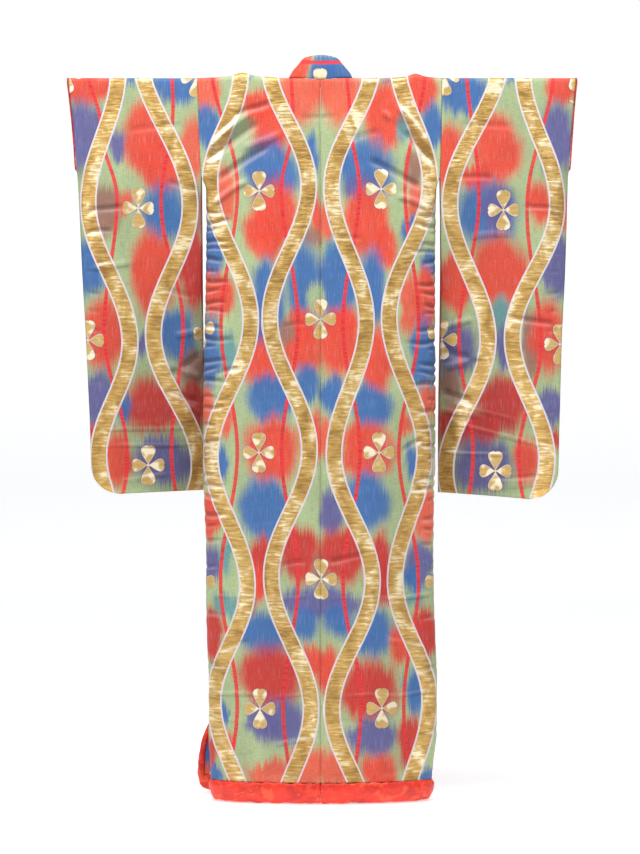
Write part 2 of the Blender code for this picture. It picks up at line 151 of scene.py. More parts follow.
# Plan of the body: how far the back and the front stand from the side seams'
# plane, how wide the back's rounding is, and how far the front bellies out
# past the side seam.
PLAN = Table(
    "drop back front back_rounding belly_right",
    [
        (0.0137, 0.0127, 0.0127, 0.060, 0.000),
        (0.100, 0.0165, 0.0180, 0.060, 0.000),
        (0.252, 0.0220, 0.0220, 0.060, 0.000),
        (0.500, 0.0330, 0.0300, 0.110, 0.004),
        (0.770, 0.0430, 0.0345, 0.150, 0.034),
        (0.960, 0.0490, 0.0370, 0.180, 0.034),
        (1.120, 0.0540, 0.0385, 0.200, 0.020),
        (1.400, 0.0630, 0.0400, 0.240, 0.000),
        (1.799, 0.0750, 0.0390, 0.280, 0.000),
    ],
)
# Sleeves: outer edge and inner edge from the centre, how far each edge stands
# forward of the rod's plane, and half the room between the two walls.
SLEEVE = Table(
    "drop left_outer right_outer left_inner right_inner outer_forward inner_forward half_room",
    [
        (0.0000, 0.6480, 0.6560, 0.3164, 0.3123, 0.000, 0.000, 0.0127),
        (0.0620, 0.6400, 0.6490, 0.3138, 0.3109, -0.001, 0.000, 0.0150),
        (0.1560, 0.6300, 0.6412, 0.3095, 0.3086, -0.006, 0.000, 0.0185),
        (0.2520, 0.6225, 0.6340, 0.3053, 0.3063, -0.014, 0.000, 0.0220),
        (0.3855, 0.6145, 0.6290, 0.3050, 0.3090, -0.026, 0.018, 0.0200),
        (0.5063, 0.6080, 0.6240, 0.3050, 0.3100, -0.036, 0.035, 0.0180),
        (0.6810, 0.5970, 0.6145, 0.3040, 0.3095, -0.048, 0.060, 0.0165),
        (0.7940, 0.5910, 0.6105, 0.3025, 0.3085, -0.056, 0.077, 0.0160),
        (0.9070, 0.5850, 0.6065, 0.3020, 0.3075, -0.064, 0.090, 0.0150),
        (1.0800, 0.5810, 0.6020, 0.3010, 0.3075, -0.074, 0.102, 0.0140),
    ],
)
SLEEVE_BOTTOM = Table(
    "side_sign inner outer", [(-1, 1.061, 1.066), (1, 1.067, 1.080)]
)
# The turned-out left front: where the fold begins in the flat front, its
# radius, and how much of a half turn it has made.
FOLD = Table(
    "drop start radius turn",
    [
        (0.900, 0.0450, 0.022, 0.00),
        (1.000, 0.0300, 0.022, 0.30),
        (1.120, 0.0000, 0.023, 0.75),
        (1.250, -0.0367, 0.024, 1.00),
        (1.500, -0.0985, 0.026, 1.00),
        (1.660, -0.1290, 0.026, 1.00),
        (1.700, -0.1445, 0.026, 1.00),
        (1.735, -0.1505, 0.026, 1.00),
        (1.799, -0.1505, 0.026, 1.00),
    ],
)
# Where the cloth lifts off the rod between neck and sleeve.
SHOULDER_LIFTS = [  # x, height, half width
    (-0.198, 0.0075, 0.030),
    (-0.200, 0.0062, 0.088),
    (0.244, 0.0070, 0.022),
    (0.240, 0.0045, 0.060),
]
# Rows over the rod: degrees round from the back, and the neck's half width.
ARCH = [
    (0, 0.0),
    (35, 0.0),
    (65, 0.055),
    (90, 0.080),
    (120, 0.0810),
    (150, 0.0805),
    (180, 0.0794),
]
# Rows down the back and the front.
DROPS = [
    0.060, 0.130, 0.190, 0.252, 0.290, 0.360, 0.480, 0.620, 0.750, 0.880,
    1.000, 1.120, 1.250, 1.420, 1.580, 1.700, HEM_DROP,
]  # fmt: skip
SLEEVE_DROPS = [0.060, 0.130, 0.190, 0.252, 0.310, 0.420, 0.560, 0.700, 0.840, 0.950]
SLEEVE_END_HEIGHTS = [0.060, 0.030, 0.010, 0.0]  # last rows, above the bottom seam
# The collar where it turns round the neck: its free edge, one side.
NECK_EDGE = [  # x, y, z
    (0.000, -0.010, 0.0715),
    (0.039, -0.002, 0.0655),
    (0.053, 0.016, 0.053),
    (0.052, 0.030, 0.046),
    (0.045, 0.042, 0.034),
    (0.040, 0.046, 0.016),
    (0.022, 0.040, -0.022),
    (0.004, 0.030, -0.104),
]
COLLAR_WIDTH_TOP = 0.057
COLLAR_WIDTH_END = 0.066
COLLAR_BOW = 0.004  # the band bows out round the neck


def eased(t):
    t = min(1.0, max(0.0, t))
    return t * t * (3 - 2 * t)


def rounding(distance, width):
    """0 at a rounded edge, 1 past its rounding."""
    return math.sqrt(max(0.0, 1 - (1 - min(1.0, max(0.0, distance) / width)) ** 2))


def half_width(side, drop):
    return EDGE.at(drop, "left" if side < 0 else "right")


def closing(drop):
    """0 where the side is open under the sleeve, 1 where it is sewn."""
    return eased((drop - ARMHOLE_DROP) / (SIDE_SEAM_DROP - ARMHOLE_DROP))


def lift(x):
    return sum(
        h * math.exp(-(((x - at) / w) ** 2) * 1.6) for at, h, w in SHOULDER_LIFTS
    )


def back_point(side, x, drop):
    """A point of the back; x is from the centre seam, signed."""
    room = half_width(side, drop) - abs(x)
    bulge = rounding(room, PLAN.at(drop, "back_rounding"))
    y = PLAN.at(drop, "back") * (1 - closing(drop) * (1 - bulge))
    fade = eased(1 - drop / 0.10)
    return Vector((x, -y - SEAM / 2, SHOULDER - drop + 0.6 * lift(x) * fade))


def front_point(side, x, drop):
    """A point of a front, from its side seam at side*half_width to past the centre.

    The left front turns out over its fold, so x is measured along the cloth.
    """
    half = half_width(side, drop)
    from_side = half - side * x
    y = PLAN.at(drop, "front") * (
        1 - closing(drop) * (1 - rounding(from_side, FRONT_ROUNDING))
    )
    if side < 0:
        y += (
            FRONT_STEP
            * eased((x + 0.24) / 0.10)
            * eased((drop - 0.02) / 0.25)
            * (1 - 0.5 * eased((drop - 1.5) / 0.25))
        )
    else:
        belly = PLAN.at(drop, "belly_right")
        x += belly * math.sin(math.pi * min(1.0, max(0.0, from_side / 0.06)))
    z = SHOULDER - drop + 0.6 * lift(x) * eased(1 - drop / 0.10)
    turn = math.pi * FOLD.at(drop, "turn")
    start = FOLD.at(drop, "start")
    if side < 0 and turn > 0 and x > start:
        radius = FOLD.at(drop, "radius")
        angle = min(turn, (x - start) / radius)
        rest = max(0.0, x - start - radius * turn)
        z -= CORNER_DIP * eased((x - start) / 0.15) * eased((drop - 1.3) / 0.45)
        y += radius * (1 - math.cos(angle)) + rest * math.sin(turn)
        x = start + radius * math.sin(angle) + rest * math.cos(turn)
    return Vector((x, y + SEAM / 2, z))


def arch_point(x, degrees):
    """A point of the cloth over the rod."""
    a = math.radians(degrees)
    raised = lift(x) * (0.6 + 0.4 * math.sin(a))
    y = -ARCH_RADIUS * math.cos(a)
    return Vector((x, y, ARCH_RADIUS * math.sin(a) + raised))


def collar_seam(drop):
    """How far from the centre, towards its own side, the collar is sewn to a front."""
    return NECK_HALF_WIDTH - (NECK_HALF_WIDTH + FRONT_EDGE) * drop / COLLAR_END_DROP


def overlap_seam(drop):
    t = (drop - KENSAKI_DROP) / (HEM_DROP - KENSAKI_DROP)
    return OVERLAP_SEAM_TOP + (OVERLAP_SEAM_HEM - OVERLAP_SEAM_TOP) * t


def sleeve_edges(side, drop):
    name = "left" if side < 0 else "right"
    inner = SLEEVE.at(drop, name + "_inner")
    if drop <= ARMHOLE_DROP:
        inner = half_width(side, drop)
    bottom = SLEEVE_BOTTOM.at(side, "outer")
    above = max(0.0, bottom - drop)
    outer = SLEEVE.at(drop, name + "_outer")
    if above < SLEEVE_CORNER:
        outer -= SLEEVE_CORNER * (1 - rounding(above, SLEEVE_CORNER))
    return inner + SEAM, outer


def sleeve_point(side, face, reach, drop):
    """A point of a sleeve's back (face -1) or front (face 1) wall."""
    inner, outer = sleeve_edges(side, drop)
    bottom = SLEEVE_BOTTOM.at(side, "inner") * (1 - reach) + reach * SLEEVE_BOTTOM.at(
        side, "outer"
    )
    forward = (
        SLEEVE.at(drop, "inner_forward") * (1 - reach)
        + SLEEVE.at(drop, "outer_forward") * reach
    )
    x = inner + (outer - inner) * reach
    closed = (WALL + SEAM) / 2
    cuff = eased((drop - CUFF_DROP + 0.02) / 0.05)
    sewn = (1 - cuff * math.exp(-(outer - x) / 0.025)) * (
        1 - math.exp(-max(0.0, bottom - drop) / 0.03)
    )
    room = closed + (SLEEVE.at(drop, "half_room") - closed) * sewn
    if drop < 0.0138:
        forward = 0.0
    return Vector((side * x, forward + face * room, SHOULDER - drop))


# ---- looks: sizes, metres ----
LAYER = 0.0016  # thickness of the cloth as shown
ROW, COLUMN = ((0.0042, 0.0066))
BAND_HALF = 0.0178  # gold band without its outlines
OUTLINE = 0.0038
LINE_HALF = 0.0047
IKAT_SLIP = 0.007  # how far the dyed threads slip past each other
PETAL_TALL, PETAL_WIDE, PETAL_HALF = 0.0515, 0.0400, 0.0172

# Wavy lines: where each one turns, as (along, x from the centre seam).
BODY_BANDS = [
    [(-0.008, -0.2043), (0.267, -0.2829), (0.627, -0.1782), (0.969, -0.2805), (1.303, -0.1859), (1.599, -0.2725), (1.894, -0.1921)],
    [(-0.046, -0.1349), (0.278, -0.0305), (0.617, -0.1294), (0.956, -0.0283), (1.277, -0.1251), (1.614, -0.0241), (1.907, -0.1028)],
    [(-0.046, 0.1349), (0.283, 0.0282), (0.627, 0.1172), (0.969, 0.0344), (1.290, 0.1325), (1.614, 0.0292), (1.907, 0.1155)],
    [(-0.046, 0.1966), (0.270, 0.2803), (0.617, 0.1754), (0.961, 0.2662), (1.290, 0.1905), (1.599, 0.2790), (1.907, 0.2101)],
]  # fmt: skip
BODY_LINES = [
    [(-0.046, -0.2814), (0.288, -0.2124), (0.635, -0.2544), (0.961, -0.2117), (1.290, -0.2542), (1.604, -0.2115), (1.907, -0.2438)],
    [(-0.046, -0.0758), (0.121, -0.0705), (0.288, -0.0998), (0.635, -0.0574), (0.961, -0.0993), (1.290, -0.0572), (1.604, -0.0952), (1.907, -0.0672)],
    [(-0.046, 0.0655), (0.108, 0.0756), (0.288, 0.0998), (0.635, 0.0574), (0.961, 0.1006), (1.290, 0.0572), (1.604, 0.1028), (1.907, 0.0748)],
    [(-0.046, 0.2711), (0.288, 0.2162), (0.635, 0.2506), (0.961, 0.2002), (1.290, 0.2503), (1.604, 0.2126), (1.907, 0.2385)],
]  # fmt: skip
SLEEVE_BANDS = {
    -1: [
        [(-0.015, -0.5191), (0.321, -0.5936), (0.681, -0.4875), (0.969, -0.5640), (1.239, -0.4982)],
        [(-0.072, -0.4652), (0.329, -0.3345), (0.660, -0.4292), (0.995, -0.3164), (1.290, -0.4136)],
    ],
    1: [
        [(-0.059, 0.4626), (0.321, 0.3319), (0.673, 0.4310), (1.007, 0.3268), (1.316, 0.4120)],
        [(-0.015, 0.5191), (0.329, 0.6048), (0.668, 0.4918), (0.977, 0.5756), (1.239, 0.5095)],
    ],
}  # fmt: skip
SLEEVE_LINES = {
    -1: [
        [(-0.046, -0.6027), (0.134, -0.5620), (0.314, -0.5200), (0.648, -0.5520), (0.969, -0.4946), (1.239, -0.5221)],
        [(-0.046, -0.3816), (0.082, -0.3780), (0.326, -0.4083), (0.635, -0.3546), (0.956, -0.3864), (1.239, -0.3520)],
    ],
    1: [
        [(-0.046, 0.3739), (0.314, 0.4057), (0.660, 0.3575), (0.969, 0.3943), (1.239, 0.3674)],
        [(-0.046, 0.6001), (0.339, 0.5277), (0.686, 0.5622), (0.969, 0.5075), (1.239, 0.5336)],
    ],
}  # fmt: skip
# Four-petalled flowers: x, along.
FLOWERS = {
    "body_left": [(-0.157, 0.293), (-0.157, 0.962), (-0.154, 1.613), (0.000, 0.622), (0.001, 1.283), (-0.311, 0.643), (-0.309, 1.293)],
    "body_right": [(0.155, 0.288), (0.149, 0.962), (0.156, 1.612), (0.000, 0.621), (0.002, 1.284), (0.314, 0.655), (0.307, 1.293)],
    "sleeve_left": [(-0.466, 0.337), (-0.443, 0.995), (-0.592, 0.676), (-0.290, 0.655), (-0.650, 0.010), (-0.319, 0.000)],
    "sleeve_right": [(0.468, 0.342), (0.450, 1.010), (0.314, 0.671), (0.610, 0.686), (0.318, 0.003), (0.654, 0.016)],
}  # fmt: skip
# Ikat clouds on the pale green ground: x, along, half width, half height, dye.
BODY_CLOUDS = [
    (-0.294, 0.036, 0.031, 0.051, "s"), (-0.286, 0.129, 0.033, 0.049, "b"),
    (-0.160, 0.077, 0.046, 0.036, "r"), (-0.127, 0.134, 0.046, 0.054, "r"),
    (-0.173, -0.015, 0.015, 0.015, "b"), (-0.127, 0.242, 0.064, 0.067, "b"),
    (-0.134, 0.278, 0.041, 0.031, "v"), (-0.242, 0.301, 0.023, 0.062, "s"),
    (-0.116, 0.352, 0.051, 0.067, "r"), (-0.142, 0.401, 0.051, 0.059, "r"),
    (-0.134, 0.576, 0.036, 0.103, "b"), (-0.281, 0.442, 0.028, 0.062, "b"),
    (-0.262, 0.560, 0.039, 0.057, "r"), (-0.055, 0.046, 0.049, 0.072, "s"),
    (0.050, 0.044, 0.051, 0.067, "s"), (-0.001, 0.026, 0.031, 0.041, "s"),
    (-0.022, 0.193, 0.018, 0.044, "b"), (-0.012, 0.344, 0.015, 0.057, "r"),
    (0.014, 0.370, 0.018, 0.046, "s"), (-0.027, 0.416, 0.026, 0.023, "w"),
    (0.027, 0.432, 0.018, 0.013, "t"), (-0.042, 0.535, 0.041, 0.087, "b"),
    (0.047, 0.529, 0.049, 0.098, "b"), (-0.014, 0.571, 0.018, 0.036, "g"),
    (-0.052, 0.637, 0.036, 0.041, "r"), (0.052, 0.637, 0.036, 0.036, "r"),
    (0.163, 0.098, 0.044, 0.082, "r"), (0.171, -0.010, 0.013, 0.013, "b"),
    (0.258, 0.031, 0.044, 0.051, "r"), (0.286, 0.129, 0.031, 0.057, "b"),
    (0.209, 0.129, 0.015, 0.033, "t"), (0.237, 0.242, 0.023, 0.051, "w"),
    (0.114, 0.236, 0.062, 0.069, "b"), (0.101, 0.278, 0.041, 0.031, "v"),
    (0.116, 0.370, 0.049, 0.077, "r"), (0.167, 0.432, 0.031, 0.046, "r"),
    (0.244, 0.319, 0.018, 0.036, "s"), (0.237, 0.396, 0.023, 0.041, "b"),
    (0.281, 0.473, 0.023, 0.036, "b"), (0.270, 0.576, 0.031, 0.072, "r"),
    (0.224, 0.583, 0.021, 0.062, "s"), (0.134, 0.545, 0.031, 0.093, "b"),
    (-0.283, 0.712, 0.031, 0.082, "b"), (-0.236, 0.712, 0.021, 0.046, "t"),
    (-0.291, 0.838, 0.023, 0.039, "s"), (-0.154, 0.648, 0.015, 0.031, "v"),
    (-0.149, 0.735, 0.044, 0.062, "r"), (-0.129, 0.830, 0.057, 0.054, "b"),
    (-0.124, 0.959, 0.064, 0.072, "r"), (-0.254, 0.984, 0.013, 0.041, "b"),
    (-0.239, 0.882, 0.018, 0.036, "s"), (-0.144, 1.105, 0.059, 0.072, "b"),
    (-0.283, 1.121, 0.028, 0.054, "r"), (-0.278, 1.244, 0.028, 0.049, "v"),
    (-0.236, 1.228, 0.015, 0.039, "t"), (-0.149, 1.244, 0.039, 0.062, "d"),
    (-0.052, 0.689, 0.046, 0.072, "r"), (-0.088, 0.653, 0.021, 0.031, "w"),
    (0.047, 0.684, 0.049, 0.077, "r"), (-0.032, 0.792, 0.028, 0.044, "b"),
    (0.032, 0.812, 0.028, 0.046, "b"), (-0.011, 0.925, 0.013, 0.062, "r"),
    (0.014, 0.925, 0.013, 0.046, "s"), (0.029, 1.113, 0.023, 0.046, "v"),
    (-0.052, 1.223, 0.049, 0.067, "d"), (0.055, 1.223, 0.054, 0.067, "d"),
    (-0.001, 1.270, 0.015, 0.036, "w"), (0.142, 0.730, 0.039, 0.072, "r"),
    (0.129, 0.848, 0.046, 0.054, "b"), (0.118, 0.961, 0.064, 0.064, "r"),
    (0.223, 0.889, 0.018, 0.033, "s"), (0.231, 0.989, 0.015, 0.039, "b"),
    (0.265, 0.707, 0.033, 0.087, "b"), (0.270, 0.838, 0.023, 0.039, "s"),
    (0.121, 1.085, 0.051, 0.064, "b"), (0.270, 1.123, 0.033, 0.059, "s"),
    (0.254, 1.246, 0.036, 0.051, "v"), (0.154, 1.234, 0.026, 0.062, "d"),
    (-0.280, 1.429, 0.028, 0.062, "d"), (-0.241, 1.347, 0.031, 0.026, "t"),
    (-0.159, 1.290, 0.018, 0.046, "r"), (-0.185, 1.347, 0.023, 0.031, "w"),
    (-0.139, 1.424, 0.067, 0.054, "b"), (-0.128, 1.532, 0.080, 0.062, "d"),
    (-0.098, 1.645, 0.054, 0.057, "v"), (-0.149, 1.640, 0.039, 0.036, "v"),
    (-0.239, 1.706, 0.021, 0.031, "r"), (-0.123, 1.784, 0.057, 0.033, "s"),
    (-0.273, 1.786, 0.026, 0.026, "b"), (-0.275, 1.727, 0.015, 0.031, "d"),
    (-0.252, 1.629, 0.010, 0.036, "b"), (-0.001, 1.342, 0.098, 0.031, "v"),
    (-0.037, 1.398, 0.033, 0.041, "b"), (0.044, 1.388, 0.033, 0.041, "b"),
    (-0.022, 1.501, 0.026, 0.044, "r"), (0.022, 1.516, 0.023, 0.051, "r"),
    (-0.037, 1.763, 0.041, 0.049, "s"), (0.039, 1.763, 0.044, 0.051, "s"),
    (0.167, 1.300, 0.021, 0.041, "d"), (0.133, 1.413, 0.049, 0.059, "b"),
    (0.123, 1.563, 0.069, 0.069, "d"), (0.131, 1.686, 0.057, 0.046, "v"),
    (0.151, 1.778, 0.046, 0.041, "r"), (0.205, 1.452, 0.023, 0.051, "r"),
    (0.239, 1.285, 0.023, 0.033, "b"), (0.239, 1.336, 0.021, 0.018, "t"),
    (0.265, 1.424, 0.033, 0.062, "d"), (0.241, 1.573, 0.023, 0.054, "b"),
    (0.228, 1.696, 0.031, 0.059, "d"), (0.275, 1.789, 0.026, 0.026, "b"),
]  # fmt: skip
# The strip of the left front that turns outwards at the hem.
FLAP_CLOUDS = [(0.070, 1.640, 0.050, 0.130, "b"), (0.075, 1.735, 0.050, 0.034, "b"), (0.075, 1.800, 0.050, 0.020, "s")]
SLEEVE_CLOUDS = {
    -1: [
        (-0.596, 0.026, 0.064, 0.039, "r"), (-0.610, 0.152, 0.049, 0.082, "v"),
        (-0.487, 0.000, 0.013, 0.013, "b"), (-0.447, 0.154, 0.054, 0.077, "r"),
        (-0.408, 0.226, 0.051, 0.059, "r"), (-0.521, 0.175, 0.021, 0.033, "v"),
        (-0.548, 0.339, 0.036, 0.062, "w"), (-0.500, 0.314, 0.015, 0.026, "s"),
        (-0.401, 0.347, 0.051, 0.069, "b"), (-0.432, 0.504, 0.049, 0.093, "r"),
        (-0.370, 0.023, 0.057, 0.039, "b"), (-0.329, 0.185, 0.031, 0.077, "s"),
        (-0.317, 0.350, 0.018, 0.057, "w"), (-0.326, 0.493, 0.036, 0.093, "d"),
        (-0.593, 0.488, 0.044, 0.072, "b"), (-0.552, 0.663, 0.051, 0.077, "r"),
        (-0.566, 0.828, 0.039, 0.069, "v"), (-0.580, 0.920, 0.013, 0.023, "d"),
        (-0.426, 0.843, 0.067, 0.067, "d"), (-0.502, 0.840, 0.018, 0.033, "b"),
        (-0.519, 0.977, 0.031, 0.067, "r"), (-0.404, 0.989, 0.069, 0.054, "v"),
        (-0.367, 0.660, 0.044, 0.064, "b"), (-0.328, 0.745, 0.026, 0.051, "w"),
        (-0.333, 0.843, 0.033, 0.049, "d"), (-0.458, 0.686, 0.010, 0.036, "v"),
    ],
    1: [
        (0.363, 0.033, 0.059, 0.051, "b"), (0.332, 0.211, 0.033, 0.082, "r"),
        (0.487, -0.005, 0.013, 0.018, "b"), (0.452, 0.185, 0.057, 0.080, "r"),
        (0.398, 0.257, 0.036, 0.028, "r"), (0.426, 0.347, 0.069, 0.069, "b"),
        (0.459, 0.339, 0.036, 0.062, "v"), (0.561, 0.329, 0.026, 0.054, "r"),
        (0.460, 0.499, 0.064, 0.082, "r"), (0.344, 0.524, 0.044, 0.067, "r"),
        (0.622, 0.023, 0.036, 0.036, "r"), (0.605, 0.154, 0.039, 0.085, "v"),
        (0.625, 0.360, 0.010, 0.036, "s"), (0.601, 0.488, 0.033, 0.077, "v"),
        (0.463, 0.607, 0.023, 0.036, "t"), (0.353, 0.702, 0.049, 0.059, "v"),
        (0.466, 0.699, 0.015, 0.057, "v"), (0.533, 0.686, 0.018, 0.087, "w"),
        (0.580, 0.673, 0.041, 0.080, "r"), (0.468, 0.843, 0.057, 0.064, "d"),
        (0.351, 0.894, 0.046, 0.051, "d"), (0.411, 0.899, 0.046, 0.036, "d"),
        (0.419, 0.997, 0.067, 0.062, "v"), (0.529, 0.982, 0.028, 0.054, "r"),
        (0.584, 0.851, 0.031, 0.051, "v"), (0.598, 0.938, 0.010, 0.023, "d"),
        (0.336, 0.792, 0.023, 0.036, "w"),
    ],
}  # fmt: skip
# The collar's own clouds: distance round from the back of the neck, across it.
COLLAR_CLOUDS = [
    (-0.075, 0.020, 0.034, 0.050, "r"), (-0.036, 0.022, 0.012, 0.050, "s"), (-0.026, 0.022, 0.006, 0.040, "g"),
    (0.008, 0.022, 0.032, 0.050, "b"), (0.055, 0.022, 0.036, 0.050, "b"),
    (-0.155, 0.030, 0.045, 0.060, "b"), (-0.260, 0.030, 0.050, 0.060, "r"),
    (-0.470, 0.030, 0.070, 0.060, "v"), (-0.600, 0.030, 0.055, 0.060, "r"),
    (-0.800, 0.030, 0.070, 0.060, "b"), (-0.930, 0.030, 0.050, 0.060, "d"),
    (0.150, 0.030, 0.045, 0.060, "r"), (0.290, 0.030, 0.060, 0.060, "v"),
    (0.420, 0.030, 0.050, 0.060, "r"), (0.610, 0.030, 0.070, 0.060, "b"),
    (0.750, 0.030, 0.050, 0.060, "d"), (0.900, 0.030, 0.060, 0.060, "v"),
]  # fmt: skip
DYES = {
    "g": (168, 186, 136),
    "r": (224, 60, 34),
    "d": (198, 24, 18),
    "s": (224, 88, 60),
    "b": (44, 102, 168),
    "v": (90, 88, 148),
    "t": (96, 150, 150),
    "w": (152, 106, 88),
}
# Main creases of the body: from (x, along) to (x, along), height (a trough is
# negative) and half width.
BODY_CREASES = [
    (-0.300, 0.215, -0.150, 0.112, -0.0042, 0.010), (-0.290, 0.180, -0.165, 0.083, 0.0030, 0.009),
    (-0.275, 0.270, -0.120, 0.168, -0.0030, 0.009), (-0.230, 0.105, -0.120, 0.060, -0.0022, 0.008),
    (-0.285, 0.330, -0.180, 0.262, 0.0022, 0.008), (-0.210, 0.190, -0.090, 0.140, 0.0018, 0.010),
    (0.300, 0.235, 0.175, 0.095, -0.0040, 0.010), (0.288, 0.190, 0.190, 0.062, 0.0028, 0.009),
    (0.270, 0.290, 0.110, 0.205, -0.0026, 0.009), (0.235, 0.150, 0.150, 0.085, 0.0020, 0.008),
    (0.292, 0.345, 0.190, 0.300, 0.0022, 0.008), (0.160, 0.140, 0.060, 0.160, -0.0012, 0.009),
    (-0.288, 1.326, -0.150, 1.333, 0.0011, 0.0042), (-0.160, 1.334, -0.010, 1.329, 0.0009, 0.0038),
    (0.006, 1.330, 0.150, 1.334, 0.0009, 0.0040), (0.140, 1.335, 0.292, 1.326, 0.0012, 0.0044),
    (-0.284, 1.575, -0.130, 1.580, 0.0012, 0.0042), (-0.140, 1.580, 0.000, 1.577, 0.0009, 0.0038),
    (0.004, 1.577, 0.160, 1.581, 0.0010, 0.0040), (0.150, 1.581, 0.292, 1.574, 0.0012, 0.0042),
    (-0.130, 1.702, -0.020, 1.693, 0.0012, 0.0050), (-0.250, 1.640, -0.160, 1.655, 0.0008, 0.0050),
    (0.010, 0.405, 0.120, 0.420, -0.0010, 0.0060), (-0.110, 0.640, -0.020, 0.632, -0.0009, 0.0055),
    (-0.060, 0.110, 0.050, 0.098, -0.0010, 0.0070), (0.200, 0.960, 0.270, 0.925, -0.0020, 0.0065),
    (-0.275, 0.760, -0.200, 0.748, -0.0019, 0.0060), (0.010, 1.240, 0.120, 1.222, -0.0016, 0.0075),
    (-0.120, 1.250, -0.030, 1.238, -0.0012, 0.0070), (0.150, 1.430, 0.280, 1.470, 0.0010, 0.0070),
    (-0.270, 1.470, -0.170, 1.440, -0.0011, 0.0070), (0.030, 1.640, 0.150, 1.655, -0.0010, 0.0060),
]  # fmt: skip
# Puckers along the side seams: along, reach inwards, depth, half width, slope.
PUCKERS = [
    (0.345, 0.060, 0.0016, 0.0048, 0.10), (0.371, 0.085, 0.0022, 0.0055, -0.05), (0.394, 0.050, 0.0015, 0.0040, 0.08),
    (0.420, 0.070, 0.0020, 0.0052, 0.02), (0.441, 0.095, 0.0014, 0.0042, -0.09), (0.470, 0.060, 0.0021, 0.0056, 0.05),
    (0.493, 0.045, 0.0013, 0.0040, -0.02), (0.523, 0.080, 0.0019, 0.0050, 0.12), (0.549, 0.055, 0.0016, 0.0044, 0.00),
    (0.578, 0.070, 0.0020, 0.0055, -0.08), (0.602, 0.090, 0.0014, 0.0042, 0.04), (0.640, 0.065, 0.0018, 0.0050, 0.00),
    (0.668, 0.100, 0.0022, 0.0056, 0.06), (0.692, 0.050, 0.0013, 0.0040, -0.05), (0.724, 0.080, 0.0020, 0.0052, 0.03),
    (0.752, 0.060, 0.0015, 0.0044, -0.10), (0.781, 0.085, 0.0021, 0.0055, 0.05), (0.816, 0.050, 0.0014, 0.0042, 0.02),
    (0.850, 0.070, 0.0018, 0.0050, -0.04), (0.889, 0.055, 0.0014, 0.0045, 0.07), (0.931, 0.065, 0.0016, 0.0050, 0.00),
    (0.972, 0.045, 0.0012, 0.0042, -0.06), (1.020, 0.060, 0.0015, 0.0052, 0.04), (1.046, 0.080, 0.0018, 0.0050, -0.03),
    (1.079, 0.060, 0.0013, 0.0042, 0.05), (1.118, 0.075, 0.0017, 0.0054, 0.00), (1.149, 0.050, 0.0012, 0.0042, -0.05),
    (1.190, 0.065, 0.0014, 0.0050, 0.06), (1.252, 0.050, 0.0011, 0.0045, 0.02), (1.380, 0.060, 0.0010, 0.0050, -0.04),
    (1.505, 0.070, 0.0010, 0.0055, 0.03), (1.660, 0.060, 0.0009, 0.0050, -0.02),
]  # fmt: skip
# Sleeve creases: reach and along at both ends, height, half width.
SLEEVE_CREASES = {
    -1: [
        (0.02, 0.940, 0.98, 0.948, 0.0013, 0.0042), (0.04, 0.896, 0.96, 0.908, 0.0012, 0.0040),
        (0.00, 0.700, 0.30, 0.770, -0.0026, 0.0110), (0.00, 0.770, 0.34, 0.735, 0.0024, 0.0100),
        (0.00, 0.640, 0.26, 0.668, 0.0020, 0.0090), (0.02, 0.830, 0.36, 0.800, -0.0022, 0.0090),
        (0.00, 0.865, 0.20, 0.835, 0.0012, 0.0045), (0.60, 0.330, 1.00, 0.352, -0.0020, 0.0070),
        (0.70, 0.395, 1.00, 0.400, -0.0018, 0.0060), (0.55, 0.470, 0.95, 0.500, 0.0016, 0.0080),
        (0.00, 0.290, 0.30, 0.270, -0.0015, 0.0070), (0.10, 0.120, 0.60, 0.140, -0.0012, 0.0090),
        (0.30, 1.020, 0.80, 1.035, 0.0012, 0.0060), (0.05, 0.560, 0.40, 0.540, -0.0015, 0.0080),
    ],
    1: [
        (0.00, 0.872, 0.98, 0.958, 0.0013, 0.0044), (0.02, 0.826, 0.70, 0.888, 0.0011, 0.0042),
        (0.00, 0.690, 0.34, 0.735, -0.0026, 0.0110), (0.00, 0.745, 0.40, 0.712, 0.0022, 0.0100),
        (0.00, 0.800, 0.30, 0.835, -0.0024, 0.0090), (0.00, 0.850, 0.36, 0.872, 0.0020, 0.0080),
        (0.02, 0.635, 0.30, 0.620, 0.0020, 0.0080), (0.50, 0.610, 0.98, 0.640, -0.0020, 0.0070),
        (0.62, 0.330, 1.00, 0.345, -0.0017, 0.0060), (0.10, 0.255, 0.45, 0.262, -0.0014, 0.0070),
        (0.20, 0.410, 0.60, 0.400, 0.0014, 0.0080), (0.10, 0.120, 0.60, 0.130, -0.0012, 0.0090),
        (0.00, 0.960, 0.60, 0.972, 0.0012, 0.0045), (0.40, 1.030, 0.90, 1.020, -0.0012, 0.0060),
    ],
}  # fmt: skip


# ---- helpers ----
def linear(rgb):
    out = []
    for c in rgb:
        c /= 255
        out.append(c / 12.92 if c <= 0.04045 else ((c + 0.055) / 1.055) ** 2.4)
    return tuple(out)


def soft(t):
    t = np.clip(t, 0, 1)
    return t * t * (3 - 2 * t)


tables = {}


def noise(a, b, seed):
    """Smooth noise from -1 to 1 on a plane."""
    if seed not in tables:
        tables[seed] = np.random.RandomState(seed).rand(256, 256) * 2 - 1
    table = tables[seed]
    ia, ib = np.floor(a).astype(int), np.floor(b).astype(int)
    fa, fb = soft(a - ia), soft(b - ib)

    def value(i, j):
        return table[(ia + i) % 256, (ib + j) % 256]

    low = value(0, 0) * (1 - fa) + value(1, 0) * fa
    high = value(0, 1) * (1 - fa) + value(1, 1) * fa
    return low * (1 - fb) + high * fb


